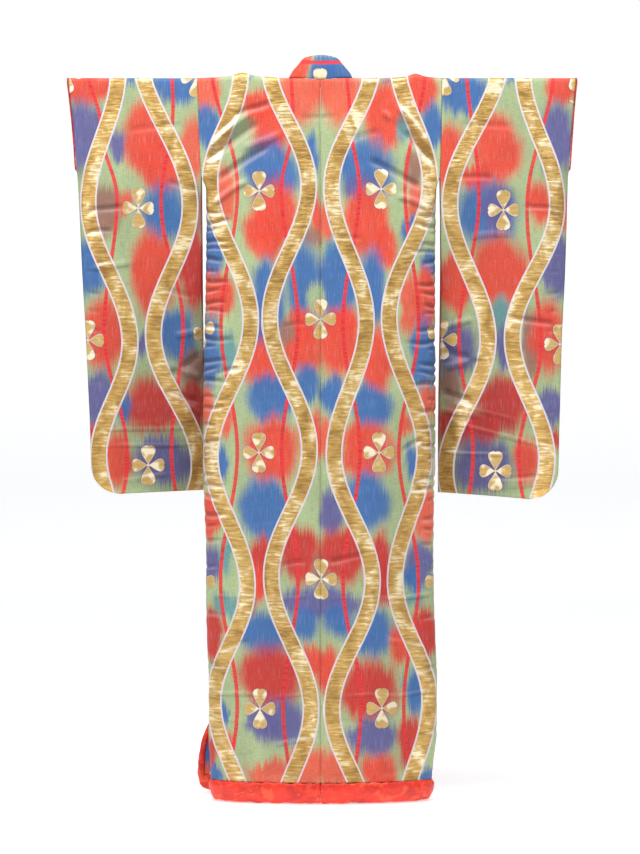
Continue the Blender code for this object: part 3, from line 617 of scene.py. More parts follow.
def wave_at(turns, along):
    """A wavy line's x at each place along, and its slope. It is mirrored past its first turn."""
    v = np.where(along < turns[0][0], 2 * turns[0][0] - along, along)
    x = np.full(v.shape, turns[-1][1], float)
    slope = np.zeros(v.shape)
    for (v0, x0), (v1, x1) in zip(turns, turns[1:]):
        t = (v - v0) / (v1 - v0)
        here = (t >= 0) & (t < 1)
        x = np.where(here, x0 + (x1 - x0) * (1 - np.cos(math.pi * t)) / 2, x)
        rate = (x1 - x0) / (v1 - v0) * math.pi / 2 * np.sin(math.pi * t)
        slope = np.where(here, rate, slope)
    return x, slope


def nearest_wave(waves, x, along):
    """Distance to the nearest wavy line, signed by the side of it."""
    best = np.full(x.shape, 1.0)
    for turns in waves:
        centre, slope = wave_at(turns, along)
        off = (x - centre) / np.sqrt(1 + slope**2)
        best = np.where(np.abs(off) < np.abs(best), off, best)
    return best


def dyed(clouds, x, along):
    """Ground colour with every cloud laid on in turn."""
    v = np.abs(along)
    bent_x = x + 0.009 * noise(x * 30 + 7, v * 22, 5) + 0.004 * noise(x * 90, v * 60, 6)
    bent_v = v + 0.012 * noise(x * 26, v * 14 + 3, 7) + 0.006 * noise(x * 110, v * 12, 8)
    colour = np.ones(x.shape + (3,)) * np.array(linear(DYES["g"]))
    tint = 1 + 0.10 * noise(x * 20, v * 9, 9)
    colour *= tint[..., None]
    for cx, cv, half_x, half_v, dye in clouds:
        far = np.sqrt(((bent_x - cx) / half_x) ** 2 + ((bent_v - cv) / half_v) ** 2)
        much = soft((1.44 - far) / 0.66)[..., None] * 0.96
        colour = colour * (1 - much) + np.array(linear(DYES[dye])) * much
    shade = 1 + 0.07 * noise(x * 45, v * 16, 10)
    return colour * shade[..., None]


def crease(x, along, rows, slack=1.0):
    """Height of the listed creases."""
    total = np.zeros(x.shape)
    for x0, v0, x1, v1, height, wide in rows:
        dx, dv = x1 - x0, v1 - v0
        long = math.hypot(dx, dv)
        t = ((x - x0) * dx + (along - v0) * dv) / long**2
        off = ((x - x0) * dv - (along - v0) * dx) / long
        off = off + 0.0022 * np.sin(t * 5.3 + x0 * 40) * slack
        ends = soft(t / 0.22) * soft((1 - t) / 0.22)
        total += height * np.exp(-((off / wide) ** 2)) * ends
    return total


def normals_of(points):
    down = np.gradient(points, axis=0)
    over = np.gradient(points, axis=1)
    n = np.cross(over, down)
    return n / np.maximum(np.linalg.norm(n, axis=2, keepdims=True), 1e-12)


def grid_piece(name, points, facts, materials, thickness, outward):
    """A cloth piece from a grid of points, with its cloth facts on every vertex."""
    rows, columns = points.shape[:2]
    normal = normals_of(points)
    r, c = outward[0]
    if float(np.dot(normal[r, c], outward[1])) < 0:
        normal = -normal
    points = points + normal * facts["height"][..., None]
    index = np.arange(rows * columns).reshape(rows, columns)
    quads = np.stack(
        [index[:-1, :-1], index[:-1, 1:], index[1:, 1:], index[1:, :-1]], axis=-1
    ).reshape(-1, 4)
    a, b, d = points[r, c], points[r, c + 1], points[r + 1, c]
    if float(np.dot(np.cross(b - a, d - a), outward[1])) < 0:
        quads = quads[:, ::-1]
    mesh = bpy.data.meshes.new(name)
    mesh.vertices.add(rows * columns)
    mesh.vertices.foreach_set("co", points.reshape(-1).astype(np.float32))
    mesh.loops.add(len(quads) * 4)
    mesh.loops.foreach_set("vertex_index", quads.reshape(-1).astype(np.int32))
    mesh.polygons.add(len(quads))
    mesh.polygons.foreach_set("loop_start", np.arange(0, len(quads) * 4, 4, dtype=np.int32))
    mesh.update(calc_edges=True)
    mesh.validate()
    for key in ("cloth", "marks", "flower", "fold"):
        made = mesh.attributes.new(key, "FLOAT_VECTOR", "POINT")
        made.data.foreach_set("vector", facts[key].reshape(-1).astype(np.float32))
    for key in ("dye_a", "dye_b"):
        made = mesh.attributes.new(key, "FLOAT_COLOR", "POINT")
        four = np.concatenate([facts[key], np.ones((rows, columns, 1))], axis=2)
        made.data.foreach_set("color", four.reshape(-1).astype(np.float32))
    mesh.shade_smooth()
    for m in materials:
        mesh.materials.append(m)
    obj = bpy.data.objects.new(name, mesh)
    bpy.context.scene.collection.objects.link(obj)
    wall = obj.modifiers.new("wall", "SOLIDIFY")
    wall.thickness = thickness
    wall.offset = 0.0
    wall.use_even_offset = False
    wall.material_offset = len(materials) - 1
    return obj


def printed(x, along, clouds, bands, lines, flowers, height, foil=1.0):
    """Everything the cloth carries, at every vertex."""
    band = np.abs(nearest_wave(bands, x, along)) if bands else np.full(x.shape, 1.0)
    line = nearest_wave(lines, x, along) if lines else np.full(x.shape, 1.0)
    u, v = np.full(x.shape, 1.0), np.full(x.shape, 1.0)
    window = np.zeros(x.shape)
    for fx, fv in flowers:
        for sign in (1, -1) if fv >= 0 else (1,):
            du, dv = x - fx, along - sign * fv
            close = np.hypot(du, dv)
            here = close < 0.075
            u, v = np.where(here, du, u), np.where(here, dv, v)
            window = np.where(close < 0.066, 1.0, window)
    on_gold = soft((BAND_HALF + 0.004 - band) / 0.006) * foil
    crinkle = 0.00055 * noise(x * 42, along * 62, 21) + 0.00042 * noise(x * 66, along * 118, 22)
    crumple = 0.00050 * noise(x * 24 + along * 9, along * 38, 23)
    plain = 0.00030 * noise(x * 22, along * 70, 24) + 0.00040 * noise(x * 10, along * 24, 25)
    worn = soft((np.abs(along) - 0.25) / 0.9) * (1.0 if bands else 0.3)
    wrinkled = (0.00075 * noise(x * 8 + 1, along * 46, 26) + 0.00050 * noise(x * 15 + 4, along * 85 + x * 12, 27)) * worn
    plain = plain + wrinkled * soft(np.abs(along) / 0.04)
    relief = height + on_gold * (crinkle + crumple + 0.0002) + plain
    # how far each spot faces up, and how deep it lies in a fold, for the painted light and shade of the folds
    run = np.gradient(np.abs(along), axis=0)
    rise = np.gradient(height + wrinkled + 0.6 * on_gold * (crinkle + crumple), axis=0)
    facing = np.where(np.abs(run) > 0.0012, rise / np.where(np.abs(run) > 0.0012, run, 1.0), 0.0)
    facing = np.clip(facing / 0.45, -1, 1)
    deep = np.clip(-height / 0.0045, -1, 1)
    return {
        "cloth": np.stack([x, along, np.zeros(x.shape)], axis=-1),
        "marks": np.stack([band, line, np.abs(line)], axis=-1),
        "flower": np.stack([u, v, window], axis=-1),
        "fold": np.stack([facing, deep, np.zeros(x.shape)], axis=-1),
        "dye_a": dyed(clouds, x, along + IKAT_SLIP),
        "dye_b": dyed(clouds, x, along - IKAT_SLIP),
        "height": relief,
    }


def steps(length, size):
    return max(2, int(round(length / size)))


# ---- materials ----
def node(tree, kind, x=0, y=0, **values):
    made = tree.nodes.new(kind)
    made.location = (x, y)
    for key, value in values.items():
        setattr(made, key, value)
    return made


class Shader:
    """Short names for the node work of one material."""

    def __init__(self, name):
        self.material = bpy.data.materials.new(name)
        self.material.use_nodes = True
        self.tree = self.material.node_tree
        self.surface = self.tree.nodes["Principled BSDF"]

    def put(self, socket, value):
        if hasattr(value, "is_output"):
            self.tree.links.new(value, socket)
        else:
            socket.default_value = value

    def attribute(self, name, kind="Vector"):
        made = node(self.tree, "ShaderNodeAttribute", attribute_name=name)
        return made.outputs[kind]

    def math(self, what, a, b=None, c=None, clamp=False):
        made = node(self.tree, "ShaderNodeMath", operation=what, use_clamp=clamp)
        for k, value in enumerate((a, b, c)):
            if value is not None:
                self.put(made.inputs[k], value)
        return made.outputs[0]

    def split(self, vector):
        made = node(self.tree, "ShaderNodeSeparateXYZ")
        self.put(made.inputs[0], vector)
        return made.outputs

    def scaled(self, vector, scale, shift=(0, 0, 0)):
        made = node(self.tree, "ShaderNodeMapping")
        self.put(made.inputs["Vector"], vector)
        made.inputs["Scale"].default_value = scale
        made.inputs["Location"].default_value = shift
        return made.outputs[0]

    def noise(self, vector, scale, shift=(0, 0, 0), detail=2.0, rough=0.5, twist=0.0):
        made = node(self.tree, "ShaderNodeTexNoise")
        self.put(made.inputs["Vector"], self.scaled(vector, scale, shift))
        made.inputs["Scale"].default_value = 1.0
        made.inputs["Detail"].default_value = detail
        made.inputs["Roughness"].default_value = rough
        made.inputs["Distortion"].default_value = twist
        return made.outputs[0]

    def range(self, value, low, high, to_low=0.0, to_high=1.0):
        made = node(self.tree, "ShaderNodeMapRange", interpolation_type="SMOOTHSTEP")
        self.put(made.inputs[0], value)
        for k, v in zip((1, 2, 3, 4), (low, high, to_low, to_high)):
            made.inputs[k].default_value = v
        return made.outputs[0]

    def mix(self, factor, a, b, blend="MIX"):
        made = node(self.tree, "ShaderNodeMix", data_type="RGBA", blend_type=blend)
        self.put(made.inputs[0], factor)
        for k, value in ((6, a), (7, b)):
            self.put(made.inputs[k], (*value, 1) if isinstance(value, tuple) else value)
        return made.outputs[2]

    def bump(self, height, distance, strength=1.0, below=None):
        made = node(self.tree, "ShaderNodeBump")
        made.inputs["Strength"].default_value = strength
        made.inputs["Distance"].default_value = distance
        self.put(made.inputs["Height"], height)
        if below is not None:
            self.put(made.inputs["Normal"], below)
        return made.outputs[0]


def gold_foil_with_painted_light(s, at, seed):
    """Colour of the woven gold foil: gold mottled along its crinkles, with painted shade in bronze and a painted pale
    glare.
    """
    big = s.noise(at, (17, 13, 1), (seed, 0, 0), 3.0, 0.55, 0.6)
    fine = s.noise(at, (26, 165, 1), (0, seed, 0), 3.0, 0.6, 0.5)
    blend = s.math("ADD", s.math("MULTIPLY", big, 0.54), s.math("MULTIPLY", fine, 0.46))
    # painted light on the foil: bronze painted shade, gold, then a painted pale glare, following the crinkle noise
    low = s.mix(s.range(blend, 0.36, 0.52), linear((160, 122, 62)), linear((208, 168, 92)))
    high = s.mix(s.range(blend, 0.50, 0.64), low, linear((255, 243, 202)))
    grain = s.noise(at, (900, 900, 1), (3, seed, 0), 1.0)
    return s.mix(s.range(grain, 0.35, 0.70, 0.0, 0.12), high, linear((120, 88, 40))), blend, fine


def brocade_material():
    s = Shader("brocade_ikat")
    at = s.attribute("cloth")
    # ground: two dyed sets of warp threads that slip past each other
    streak = s.noise(at, (330, 7, 1), (0, 0, 0), 2.0, 0.6)
    dye = s.mix(
        s.range(streak, 0.40, 0.60), s.attribute("dye_a", "Color"), s.attribute("dye_b", "Color")
    )
    thread = s.noise(at, (760, 22, 1), (5, 2, 0), 2.0, 0.6)
    dye = s.mix(s.range(thread, 0.54, 0.76, 0.0, 0.24), dye, linear((206, 208, 220)))
    dye = s.mix(s.range(thread, 0.46, 0.28, 0.0, 0.34), dye, linear((84, 62, 72)))
    pick = s.noise(at, (70, 640, 1), (1, 7, 0), 2.0, 0.6)
    dye = s.mix(s.range(pick, 0.52, 0.36, 0.0, 0.22), dye, linear((70, 46, 46)))
    # crimson lines with darker ticks
    marks = s.split(s.attribute("marks"))
    ticks = s.noise(at, (14, 190, 1), (4, 4, 0), 1.0)
    crimson = s.mix(s.range(ticks, 0.50, 0.62, 0.0, 0.55), linear((222, 42, 46)), linear((160, 20, 30)))
    on_line = s.math(
        "MULTIPLY",
        s.range(s.math("ABSOLUTE", marks[1]), LINE_HALF + 0.0004, LINE_HALF - 0.0004),
        s.range(marks[2], 0.030, 0.026),
    )
    colour = s.mix(s.math("MULTIPLY", on_line, 0.92), dye, crimson)
    # bands: foil between two white outlines, each split by a thin grey line
    foil, relief, fine = gold_foil_with_painted_light(s, at, 11.0)
    edge = s.range(marks[0], BAND_HALF + OUTLINE + 0.0003, BAND_HALF + OUTLINE - 0.0003)
    gold = s.range(marks[0], BAND_HALF + 0.0003, BAND_HALF - 0.0003)
    parting = s.math(
        "MULTIPLY",
        s.range(marks[0], BAND_HALF + 0.0014, BAND_HALF + 0.0018),
        s.range(marks[0], BAND_HALF + 0.0028, BAND_HALF + 0.0023),
    )
    cord = s.mix(parting, linear((236, 224, 230)), linear((172, 168, 190)))
    colour = s.mix(edge, colour, cord)
    colour = s.mix(gold, colour, foil)
    # flowers of four notched petals
    flower = s.split(s.attribute("flower"))
    u, v = s.math("ABSOLUTE", flower[0]), s.math("ABSOLUTE", flower[1])

    def petals(across, length, tall, wide):
        notch = s.range(across, 0.0040, 0.0, 0.0, 0.05)
        t = s.math("DIVIDE", length, s.math("MULTIPLY", s.math("SUBTRACT", 1.0, notch), tall))
        room = s.math("MAXIMUM", s.math("SUBTRACT", 1.0, s.math("POWER", t, 2.6)), 0.0)
        half = s.math("MULTIPLY", s.math("MULTIPLY", s.math("POWER", t, 1.15), s.math("SQRT", room)), 2.05 * wide)
        past = s.math("MULTIPLY", s.math("MAXIMUM", s.math("SUBTRACT", t, 1.0), 0.0), 0.06)
        return s.math("SUBTRACT", s.math("SUBTRACT", half, across), past)

    margin = s.math(
        "MAXIMUM",
        petals(u, v, PETAL_TALL, PETAL_HALF * 0.98),
        petals(v, u, PETAL_WIDE, PETAL_HALF * 0.92),
    )
    inside = s.math("MULTIPLY", s.range(margin, -0.0003, 0.0004), flower[2])
    rim = s.math("MULTIPLY", s.range(margin, 0.0024, 0.0014), inside)
    sheen_side = s.noise(at, (34, 34, 1), (9, 1, 0), 1.0)
    petal = s.mix(s.range(sheen_side, 0.49, 0.62), linear((196, 160, 88)), linear((246, 236, 206)))
    petal = s.mix(s.range(fine, 0.35, 0.65, 0.0, 0.30), petal, linear((232, 206, 150)))
    petal = s.mix(s.math("MULTIPLY", rim, 0.85), petal, linear((214, 196, 204)))
    heart = s.range(s.math("ADD", u, v), 0.0046, 0.0036)
    petal = s.mix(heart, petal, linear((248, 236, 200)))
    seen = s.math("MULTIPLY", s.math("MAXIMUM", inside, s.math("MULTIPLY", heart, flower[2])), s.math("SUBTRACT", 1.0, edge))
    colour = s.mix(seen, colour, petal)
    # folds: painted light and shade, a painted highlight on their upper faces and painted shade on their lower faces
    # and in their troughs
    fold = s.split(s.attribute("fold"))
    shiny = s.math("MAXIMUM", gold, seen)
    dull = s.math("SUBTRACT", 1.0, shiny)
    below = s.math("MAXIMUM", s.range(fold[0], -0.06, -0.80), s.math("MULTIPLY", s.range(fold[1], 0.10, 1.0), 0.45))
    above = s.range(fold[0], 0.08, 0.85)
    colour = s.mix(s.math("MULTIPLY", s.math("MULTIPLY", below, 0.60), dull), colour, (0.36, 0.30, 0.34), "MULTIPLY")
    colour = s.mix(s.math("MULTIPLY", s.math("MULTIPLY", above, 0.13), dull), colour, linear((255, 236, 226)))
    # the gold and the petals take a stronger painted shade and painted highlight on their folds
    colour = s.mix(s.math("MULTIPLY", s.math("MULTIPLY", below, 0.70), shiny), colour, linear((140, 98, 44)))
    colour = s.mix(s.math("MULTIPLY", s.math("MULTIPLY", above, 0.80), shiny), colour, linear((255, 250, 226)))
    shade = s.math("MULTIPLY", s.math("MULTIPLY", s.range(margin, -0.0026, -0.0006), s.range(margin, 0.0004, -0.0002)), flower[2])
    colour = s.mix(s.math("MULTIPLY", shade, 0.35), colour, linear((92, 70, 84)))
    s.put(s.surface.inputs["Base Color"], colour)
    metal = s.math("MAXIMUM", gold, s.math("MULTIPLY", seen, 0.55))
    s.put(s.surface.inputs["Metallic"], s.math("MULTIPLY", metal, 0.48))
    rough = s.math("SUBTRACT", 0.62, s.math("MULTIPLY", metal, 0.30))
    s.put(s.surface.inputs["Roughness"], s.math("ADD", rough, s.math("MULTIPLY", fine, 0.10)))
    s.surface.inputs["Sheen Weight"].default_value = 0.05
    s.surface.inputs["Sheen Roughness"].default_value = 0.5
    weave = s.math("ADD", s.math("MULTIPLY", thread, 0.6), s.math("MULTIPLY", pick, 0.5))
    plain = s.math("MULTIPLY", weave, s.math("SUBTRACT", 1.0, metal))
    folded = s.math("MULTIPLY", s.math("ADD", relief, s.noise(at, (46, 300, 1), (2, 8, 0), 3.0, 0.6, 0.5)), metal)
    raised = s.math("MULTIPLY", s.math("MAXIMUM", edge, seen), 0.55)
    first = s.bump(plain, 0.0006, 0.55)
    second = s.bump(folded, 0.0022, 0.8, first)
    s.put(s.surface.inputs["Normal"], s.bump(raised, 0.0009, 0.7, second))
    return s.material


def satin_material(name, colour, dark, wrinkle=1.0):
    s = Shader(name)
    coords = node(s.tree, "ShaderNodeTexCoord").outputs["Object"]
    slub = s.noise(coords, (240, 240, 900), (0, 0, 0), 2.0, 0.6)
    patch = s.noise(coords, (16, 16, 30), (2, 0, 1), 3.0, 0.55, 0.5)
    tone = s.mix(s.range(patch, 0.34, 0.62), linear(dark), linear(colour))
    # painted sheen: orange highlight patches, stronger on the more wrinkled satins
    painted_sheen = s.noise(coords, (26, 26, 40), (7, 0, 2), 2.0, 0.5, 1.2)
    tone = s.mix(s.range(painted_sheen, 0.54, 0.66, 0.0, 0.42 * wrinkle), tone, linear((255, 116, 62)))
    tone = s.mix(s.range(slub, 0.45, 0.70, 0.0, 0.14), tone, linear((255, 140, 92)))
    s.put(s.surface.inputs["Base Color"], tone)
    s.put(s.surface.inputs["Roughness"], s.range(slub, 0.30, 0.70, 0.34, 0.46))
    s.surface.inputs["Sheen Weight"].default_value = 0.25
    s.surface.inputs["Sheen Roughness"].default_value = 0.4
    s.surface.inputs["Sheen Tint"].default_value = (1.0, 0.55, 0.35, 1)
    first = s.bump(slub, 0.0004, 0.35)
    folds = s.noise(coords, (58, 58, 44), (0, 3, 0), 3.0, 0.55, 0.9)
    s.put(s.surface.inputs["Normal"], s.bump(folds, 0.0045 * wrinkle, 0.7, first))
    return s.material


def lacquer_material():
    s = Shader("lacquered_wood")
    coords = node(s.tree, "ShaderNodeTexCoord").outputs["Object"]
    grain = s.noise(coords, (6, 210, 210), (0, 0, 0), 4.0, 0.6, 0.4)
    s.put(s.surface.inputs["Base Color"], s.mix(s.range(grain, 0.38, 0.64), linear((38, 20, 14)), linear((88, 48, 30))))
    s.put(s.surface.inputs["Roughness"], s.range(grain, 0.3, 0.7, 0.20, 0.34))
    s.surface.inputs["Coat Weight"].default_value = 0.7
    s.surface.inputs["Coat Roughness"].default_value = 0.12
    s.put(s.surface.inputs["Normal"], s.bump(grain, 0.0005, 0.5))
    return s.material


brocade = brocade_material()
lining = satin_material("lining_satin", (214, 40, 30), (150, 16, 16), 0.6)
padded_satin = satin_material("hem_satin", (238, 48, 26), (204, 26, 16), 1.0)
cord_satin = satin_material("cuff_satin", (190, 30, 30), (130, 14, 18), 0.2)
lacquer = lacquer_material()
shown = []


def finish_piece(obj, slot, *nodes):
    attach(obj, "root")
    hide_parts(*nodes)
    shown.append(obj)
    return obj


def pair(side, left, right):
    return left if side < 0 else right


# ---- body halves ----
ARCH_ROWS = [0, 12, 24, 35, 50, 65, 78, 90, 105, 120, 135, 150, 165, 180]


def neck_at(degrees):
    for (d0, n0), (d1, n1) in zip(ARCH, ARCH[1:]):
        if degrees <= d1:
            return n0 + (n1 - n0) * (degrees - d0) / (d1 - d0)
    return ARCH[-1][1]


def column_places(count):
    t = np.linspace(0, 1, count + 1)
    return 0.55 * t + 0.45 * np.sin(t * math.pi / 2)


def body_height(side, x, along, half):
    """Creases, side puckers and the slow swell of the hanging cloth."""
    v = np.abs(along)
    behind = along >= 0
    total = np.where(behind, 1.9 * crease(x, v, BODY_CREASES), 1.3 * crease(-x, v + 0.004, BODY_CREASES))
    from_side = half - np.abs(x)
    for k, (at, reach, depth, wide, slope) in enumerate(PUCKERS):
        shift = (0.0 if side < 0 else 0.009) + 0.004 * math.sin(k * 2.3)
        grow = 1.0 if side < 0 else 0.75 + 0.35 * math.sin(k * 1.7 + 1)
        off = v - at - shift - slope * from_side - 0.0025 * np.sin(from_side * 70 + k)
        fade = soft((reach * grow - from_side) / (reach * grow) * 1.3) * soft((from_side + 0.004) / 0.010)
        total = total - 2.6 * depth * np.exp(-((off / wide) ** 2)) * fade
    swell = 0.0022 * np.sin(x * 21 + 0.6) * soft((v - 0.45) / 0.6)
    swell += 0.0016 * noise(x * 7 + 3, v * 3.2, 31) * soft((v - 0.1) / 0.2)
    pinned = soft((HEM_DROP - v) / 0.03)
    return (total + swell * soft(from_side / 0.05)) * pinned


for side, word in ((-1, "left"), (1, "right")):
    places = column_places(steps(0.29, COLUMN))
    down = np.linspace(HEM_DROP, 0.0137, steps(HEM_DROP, ROW) + 1)
    rows, xs, vs, halves = [], [], [], []
    for drop in down[:-1]:
        half = half_width(side, drop)
        across = [side * (SEAM / 2 + (half - SEAM / 2) * s) for s in places]
        rows.append([back_point(side, x, drop) for x in across])
        xs.append(across)
        vs.append([drop] * len(across))
        halves.append([half] * len(across))
    half = half_width(side, 0.0137)
    for degrees in ARCH_ROWS:
        inner = max(SEAM / 2, neck_at(degrees))
        across = [side * (inner + (half - inner) * s) for s in places]
        rows.append([arch_point(x, degrees) for x in across])
        xs.append(across)
        vs.append([0.0137 * (1 - degrees / 90)] * len(across))
        halves.append([half] * len(across))
    for drop in down[::-1][1:]:
        half = half_width(side, drop)
        inner = collar_seam(drop) if drop <= KENSAKI_DROP else overlap_seam(drop)
        across = [side * (inner + (half - inner) * s) for s in places]
        rows.append([front_point(side, x, drop) for x in across])
        xs.append(across)
        vs.append([-drop] * len(across))
        halves.append([half] * len(across))
    points = np.array([[tuple(p) for p in row] for row in rows])
    x, along, halves = np.array(xs), np.array(vs), np.array(halves)
    facts = printed(
        x, along, BODY_CLOUDS, BODY_BANDS, BODY_LINES, FLOWERS["body_" + word],
        body_height(side, x, along, halves),
    )  # fmt: skip
    r, c = len(down) // 2, len(places) // 2
    body = grid_piece(
        f"back_and_front_{word}", points, facts, [brocade, lining], LAYER,
        ((r, c), np.array((0.0, -1.0, 0.0))),
    )  # fmt: skip
    finish_piece(body, "brocade", f"body_{word}")

    # -- overlap panel --
    rows, xs, vs = [], [], []
    drops = np.linspace(KENSAKI_DROP + 0.012, HEM_DROP, steps(HEM_DROP - KENSAKI_DROP, ROW) + 1)
    columns = steps(0.14, COLUMN)
    for drop in drops:
        outer = overlap_seam(drop) - SEAM
        if side < 0 and drop > COLLAR_END_DROP:
            outer -= FOLD_SEAM_ROOM
        inner = collar_seam(drop) + SEAM if drop < COLLAR_END_DROP else -FRONT_EDGE
        across = [side * (outer + (inner - outer) * k / columns) for k in range(columns + 1)]
        rows.append([front_point(side, x, drop) for x in across])
        xs.append(across)
        vs.append([-drop] * len(across))
    points = np.array([[tuple(p) for p in row] for row in rows])
    # below the collar the panel reaches just into the roll it is sewn to
    below_collar = np.array(drops) > COLLAR_END_DROP + 0.02
    reach_out = points[:, -1] - points[:, -2]
    reach_out /= np.linalg.norm(reach_out, axis=1, keepdims=True)
    points[:, -1] += reach_out * np.where(below_collar, 0.0016, 0.0)[:, None]
    reach_out = points[:, 0] - points[:, 1]
    reach_out /= np.linalg.norm(reach_out, axis=1, keepdims=True)
    points[:, 0] += reach_out * np.where(below_collar, pair(side, FOLD_SEAM_ROOM * 0.6, 0.0), 0.0)[:, None]
    reach_out = points[-1] - points[-2]
    reach_out /= np.linalg.norm(reach_out, axis=1, keepdims=True)
    points[-1] += reach_out * 0.0014
    x, along = np.array(xs), np.array(vs)
    height = 0.7 * crease(-x, np.abs(along) + 0.004, BODY_CREASES) * soft((HEM_DROP - np.abs(along)) / 0.03)
    clouds = BODY_CLOUDS + pair(side, FLAP_CLOUDS, [])
    facts = printed(x, along, clouds, BODY_BANDS, BODY_LINES, FLOWERS["body_" + word], height)
    panel = grid_piece(
        f"overlap_{word}", points, facts, [brocade, lining], LAYER,
        ((len(drops) // 6, columns // 2), np.array((0.0, 1.0, 0.0))),
    )  # fmt: skip
    finish_piece(panel, "brocade", f"okumi_{word}")

    # -- sleeve --
    t = np.linspace(0, 1, steps(0.32, COLUMN) + 1)
    reaches = 0.7 * t + 0.3 * (1 - np.cos(math.pi * t)) / 2
    drops = list(np.linspace(0.0137, 0.950, steps(0.936, ROW) + 1)[1:])
    ends = np.linspace(0, 1, steps(0.12, ROW * 0.8) + 1)[1:]
    rows, xs, vs = [], [], []

    def wall_row(face, drop, end):
        row, across, along = [], [], []
        for reach in reaches:
            bottom = SLEEVE_BOTTOM.at(side, "inner") * (1 - reach) + reach * SLEEVE_BOTTOM.at(side, "outer")
            d = drop if end is None else 0.950 + (bottom - 0.950) * end
            row.append(sleeve_point(side, face, reach, d))
            inner, outer = sleeve_edges(side, d)
            across.append(side * (inner + (outer - inner) * reach))
            along.append(-face * d)
        return row, across, along

    order = [(-1, None, e) for e in ends[::-1]] + [(-1, d, None) for d in drops[::-1]]
    for face, drop, end in order:
        row, across, along_row = wall_row(face, drop, end)
        rows.append(row)
        xs.append(across)
        vs.append(along_row)
    inner, outer = sleeve_edges(side, 0.0137)
    for degrees in ARCH_ROWS:
        across = [side * (inner + (outer - inner) * reach) for reach in reaches]
        rows.append([arch_point(x, degrees) for x in across])
        xs.append(across)
        vs.append([0.0137 * (1 - degrees / 90)] * len(across))
    for _, drop, end in order[::-1]:
        row, across, along_row = wall_row(1, drop, end)
        rows.append(row)
        xs.append(across)
        vs.append(along_row)
    points = np.array([[tuple(p) for p in row] for row in rows])
    x, along = np.array(xs), np.array(vs)
    reach = np.tile(reaches, (len(xs), 1))
    v = np.abs(along)
    # creases are laid out by reach, so they are scaled to the sleeve's width
    wide = 0.31
    laid = [(a * wide, b, c * wide, d, h, w) for a, b, c, d, h, w in SLEEVE_CREASES[side]]
    height = np.where(along >= 0, 1.7 * crease(reach * wide, v, laid), 1.3 * crease(reach * wide, v + 0.006, laid))
    height += 0.0020 * noise(reach * 3.1 + 2, v * 4.5, 41 + side) * soft(v / 0.1)
    for k, (at, long, depth, w, slope) in enumerate(PUCKERS[::2]):
        off = v - at * 0.86 + 0.02 - slope * (1 - reach) * wide - 0.002 * np.sin(reach * 24 + k)
        fade = soft((long * 0.8 - (1 - reach) * wide) / (long * 0.8))
        height -= 1.5 * depth * np.exp(-((off / w) ** 2)) * fade
    bottom = SLEEVE_BOTTOM.at(side, "inner") * (1 - reach) + reach * SLEEVE_BOTTOM.at(side, "outer")
    closed = soft((bottom - v) / 0.05) * soft((1 - reach) * wide / 0.03 + soft((CUFF_DROP - v) / 0.02) * 0.3)
    height = height * closed
    facts = printed(
        x, along, SLEEVE_CLOUDS[side], SLEEVE_BANDS[side], SLEEVE_LINES[side],
        FLOWERS["sleeve_" + word], height,
    )  # fmt: skip
    quiet = (0.25 + 0.75 * closed)
    # painted shade, multiplied into the dye colours: the sleeve is darkened all over, most low down towards the body,
    # where it turns away from the light
    painted_shade = 0.93 - 0.24 * soft((v - 0.35) / 0.6) * soft((1.1 - reach) / 0.9)
    facts["dye_a"] = facts["dye_a"] * painted_shade[..., None]
    facts["dye_b"] = facts["dye_b"] * painted_shade[..., None]
    facts["height"] = height + (facts["height"] - height) * quiet
    sleeve = grid_piece(
        f"sleeve_cloth_{word}", points, facts, [brocade, lining], LAYER,
        ((len(order) // 2, len(t) // 2), np.array((0.0, -1.0, 0.0))),
    )  # fmt: skip
    finish_piece(sleeve, "brocade", f"sleeve_{word}")


# ---- smooth lofts ----
def flowing(values, count):
    """Points along a smooth curve through the given ones, evenly by number."""
    values = np.asarray(values, float)
    n = len(values)
    at = np.linspace(0, n - 1, count)
    i = np.clip(at.astype(int), 0, n - 2)
    t = (at - i).reshape((-1,) + (1,) * (values.ndim - 1))
    p1, p2 = values[i], values[i + 1]
    m1 = (p2 - values[np.maximum(i - 1, 0)]) / 2
    m2 = (values[np.minimum(i + 2, n - 1)] - p1) / 2
    return (
        (2 * t**3 - 3 * t**2 + 1) * p1 + (t**3 - 2 * t**2 + t) * m1
        + (3 * t**2 - 2 * t**3) * p2 + (t**3 - t**2) * m2
    )  # fmt: skip


def evenly(values, size):
    """The same curve with points at an even spacing, by its first three numbers."""
    fine = flowing(values, len(values) * 40)
    run = np.concatenate([[0], np.cumsum(np.linalg.norm(np.diff(fine[:, :3], axis=0), axis=1))])
    want = np.linspace(0, run[-1], steps(run[-1], size) + 1)
    out = np.stack([np.interp(want, run, fine[:, k]) for k in range(fine.shape[1])], axis=1)
    return out, want


def solid_loft(name, rings, made):
    """A closed form from rings of points, with caps of triangles."""
    count, sides = rings.shape[:2]
    verts = [tuple(p) for ring in rings for p in ring]
    faces = []
    for r in range(count - 1):
        for k in range(sides):
            m = (k + 1) % sides
            faces.append((r * sides + k, r * sides + m, (r + 1) * sides + m, (r + 1) * sides + k))
    for r, turn in ((0, 1), (count - 1, -1)):
        middle = len(verts)
        verts.append(tuple(rings[r].mean(0)))
        for k in range(sides):
            m = (k + 1) % sides
            ring = (r * sides + m, r * sides + k, middle)
            faces.append(ring if turn > 0 else ring[::-1])
    mesh = bpy.data.meshes.new(name)
    mesh.from_pydata(verts, [], faces)
    mesh.validate()
    volume = sum(
        Vector(verts[f.vertices[0]]).dot(Vector(verts[f.vertices[1]]).cross(Vector(verts[f.vertices[2]])))
        for f in mesh.polygons
    )
    if volume < 0:
        mesh.flip_normals()
    mesh.shade_smooth()
    mesh.materials.append(made)
    obj = bpy.data.objects.new(name, mesh)
    bpy.context.scene.collection.objects.link(obj)
    return obj


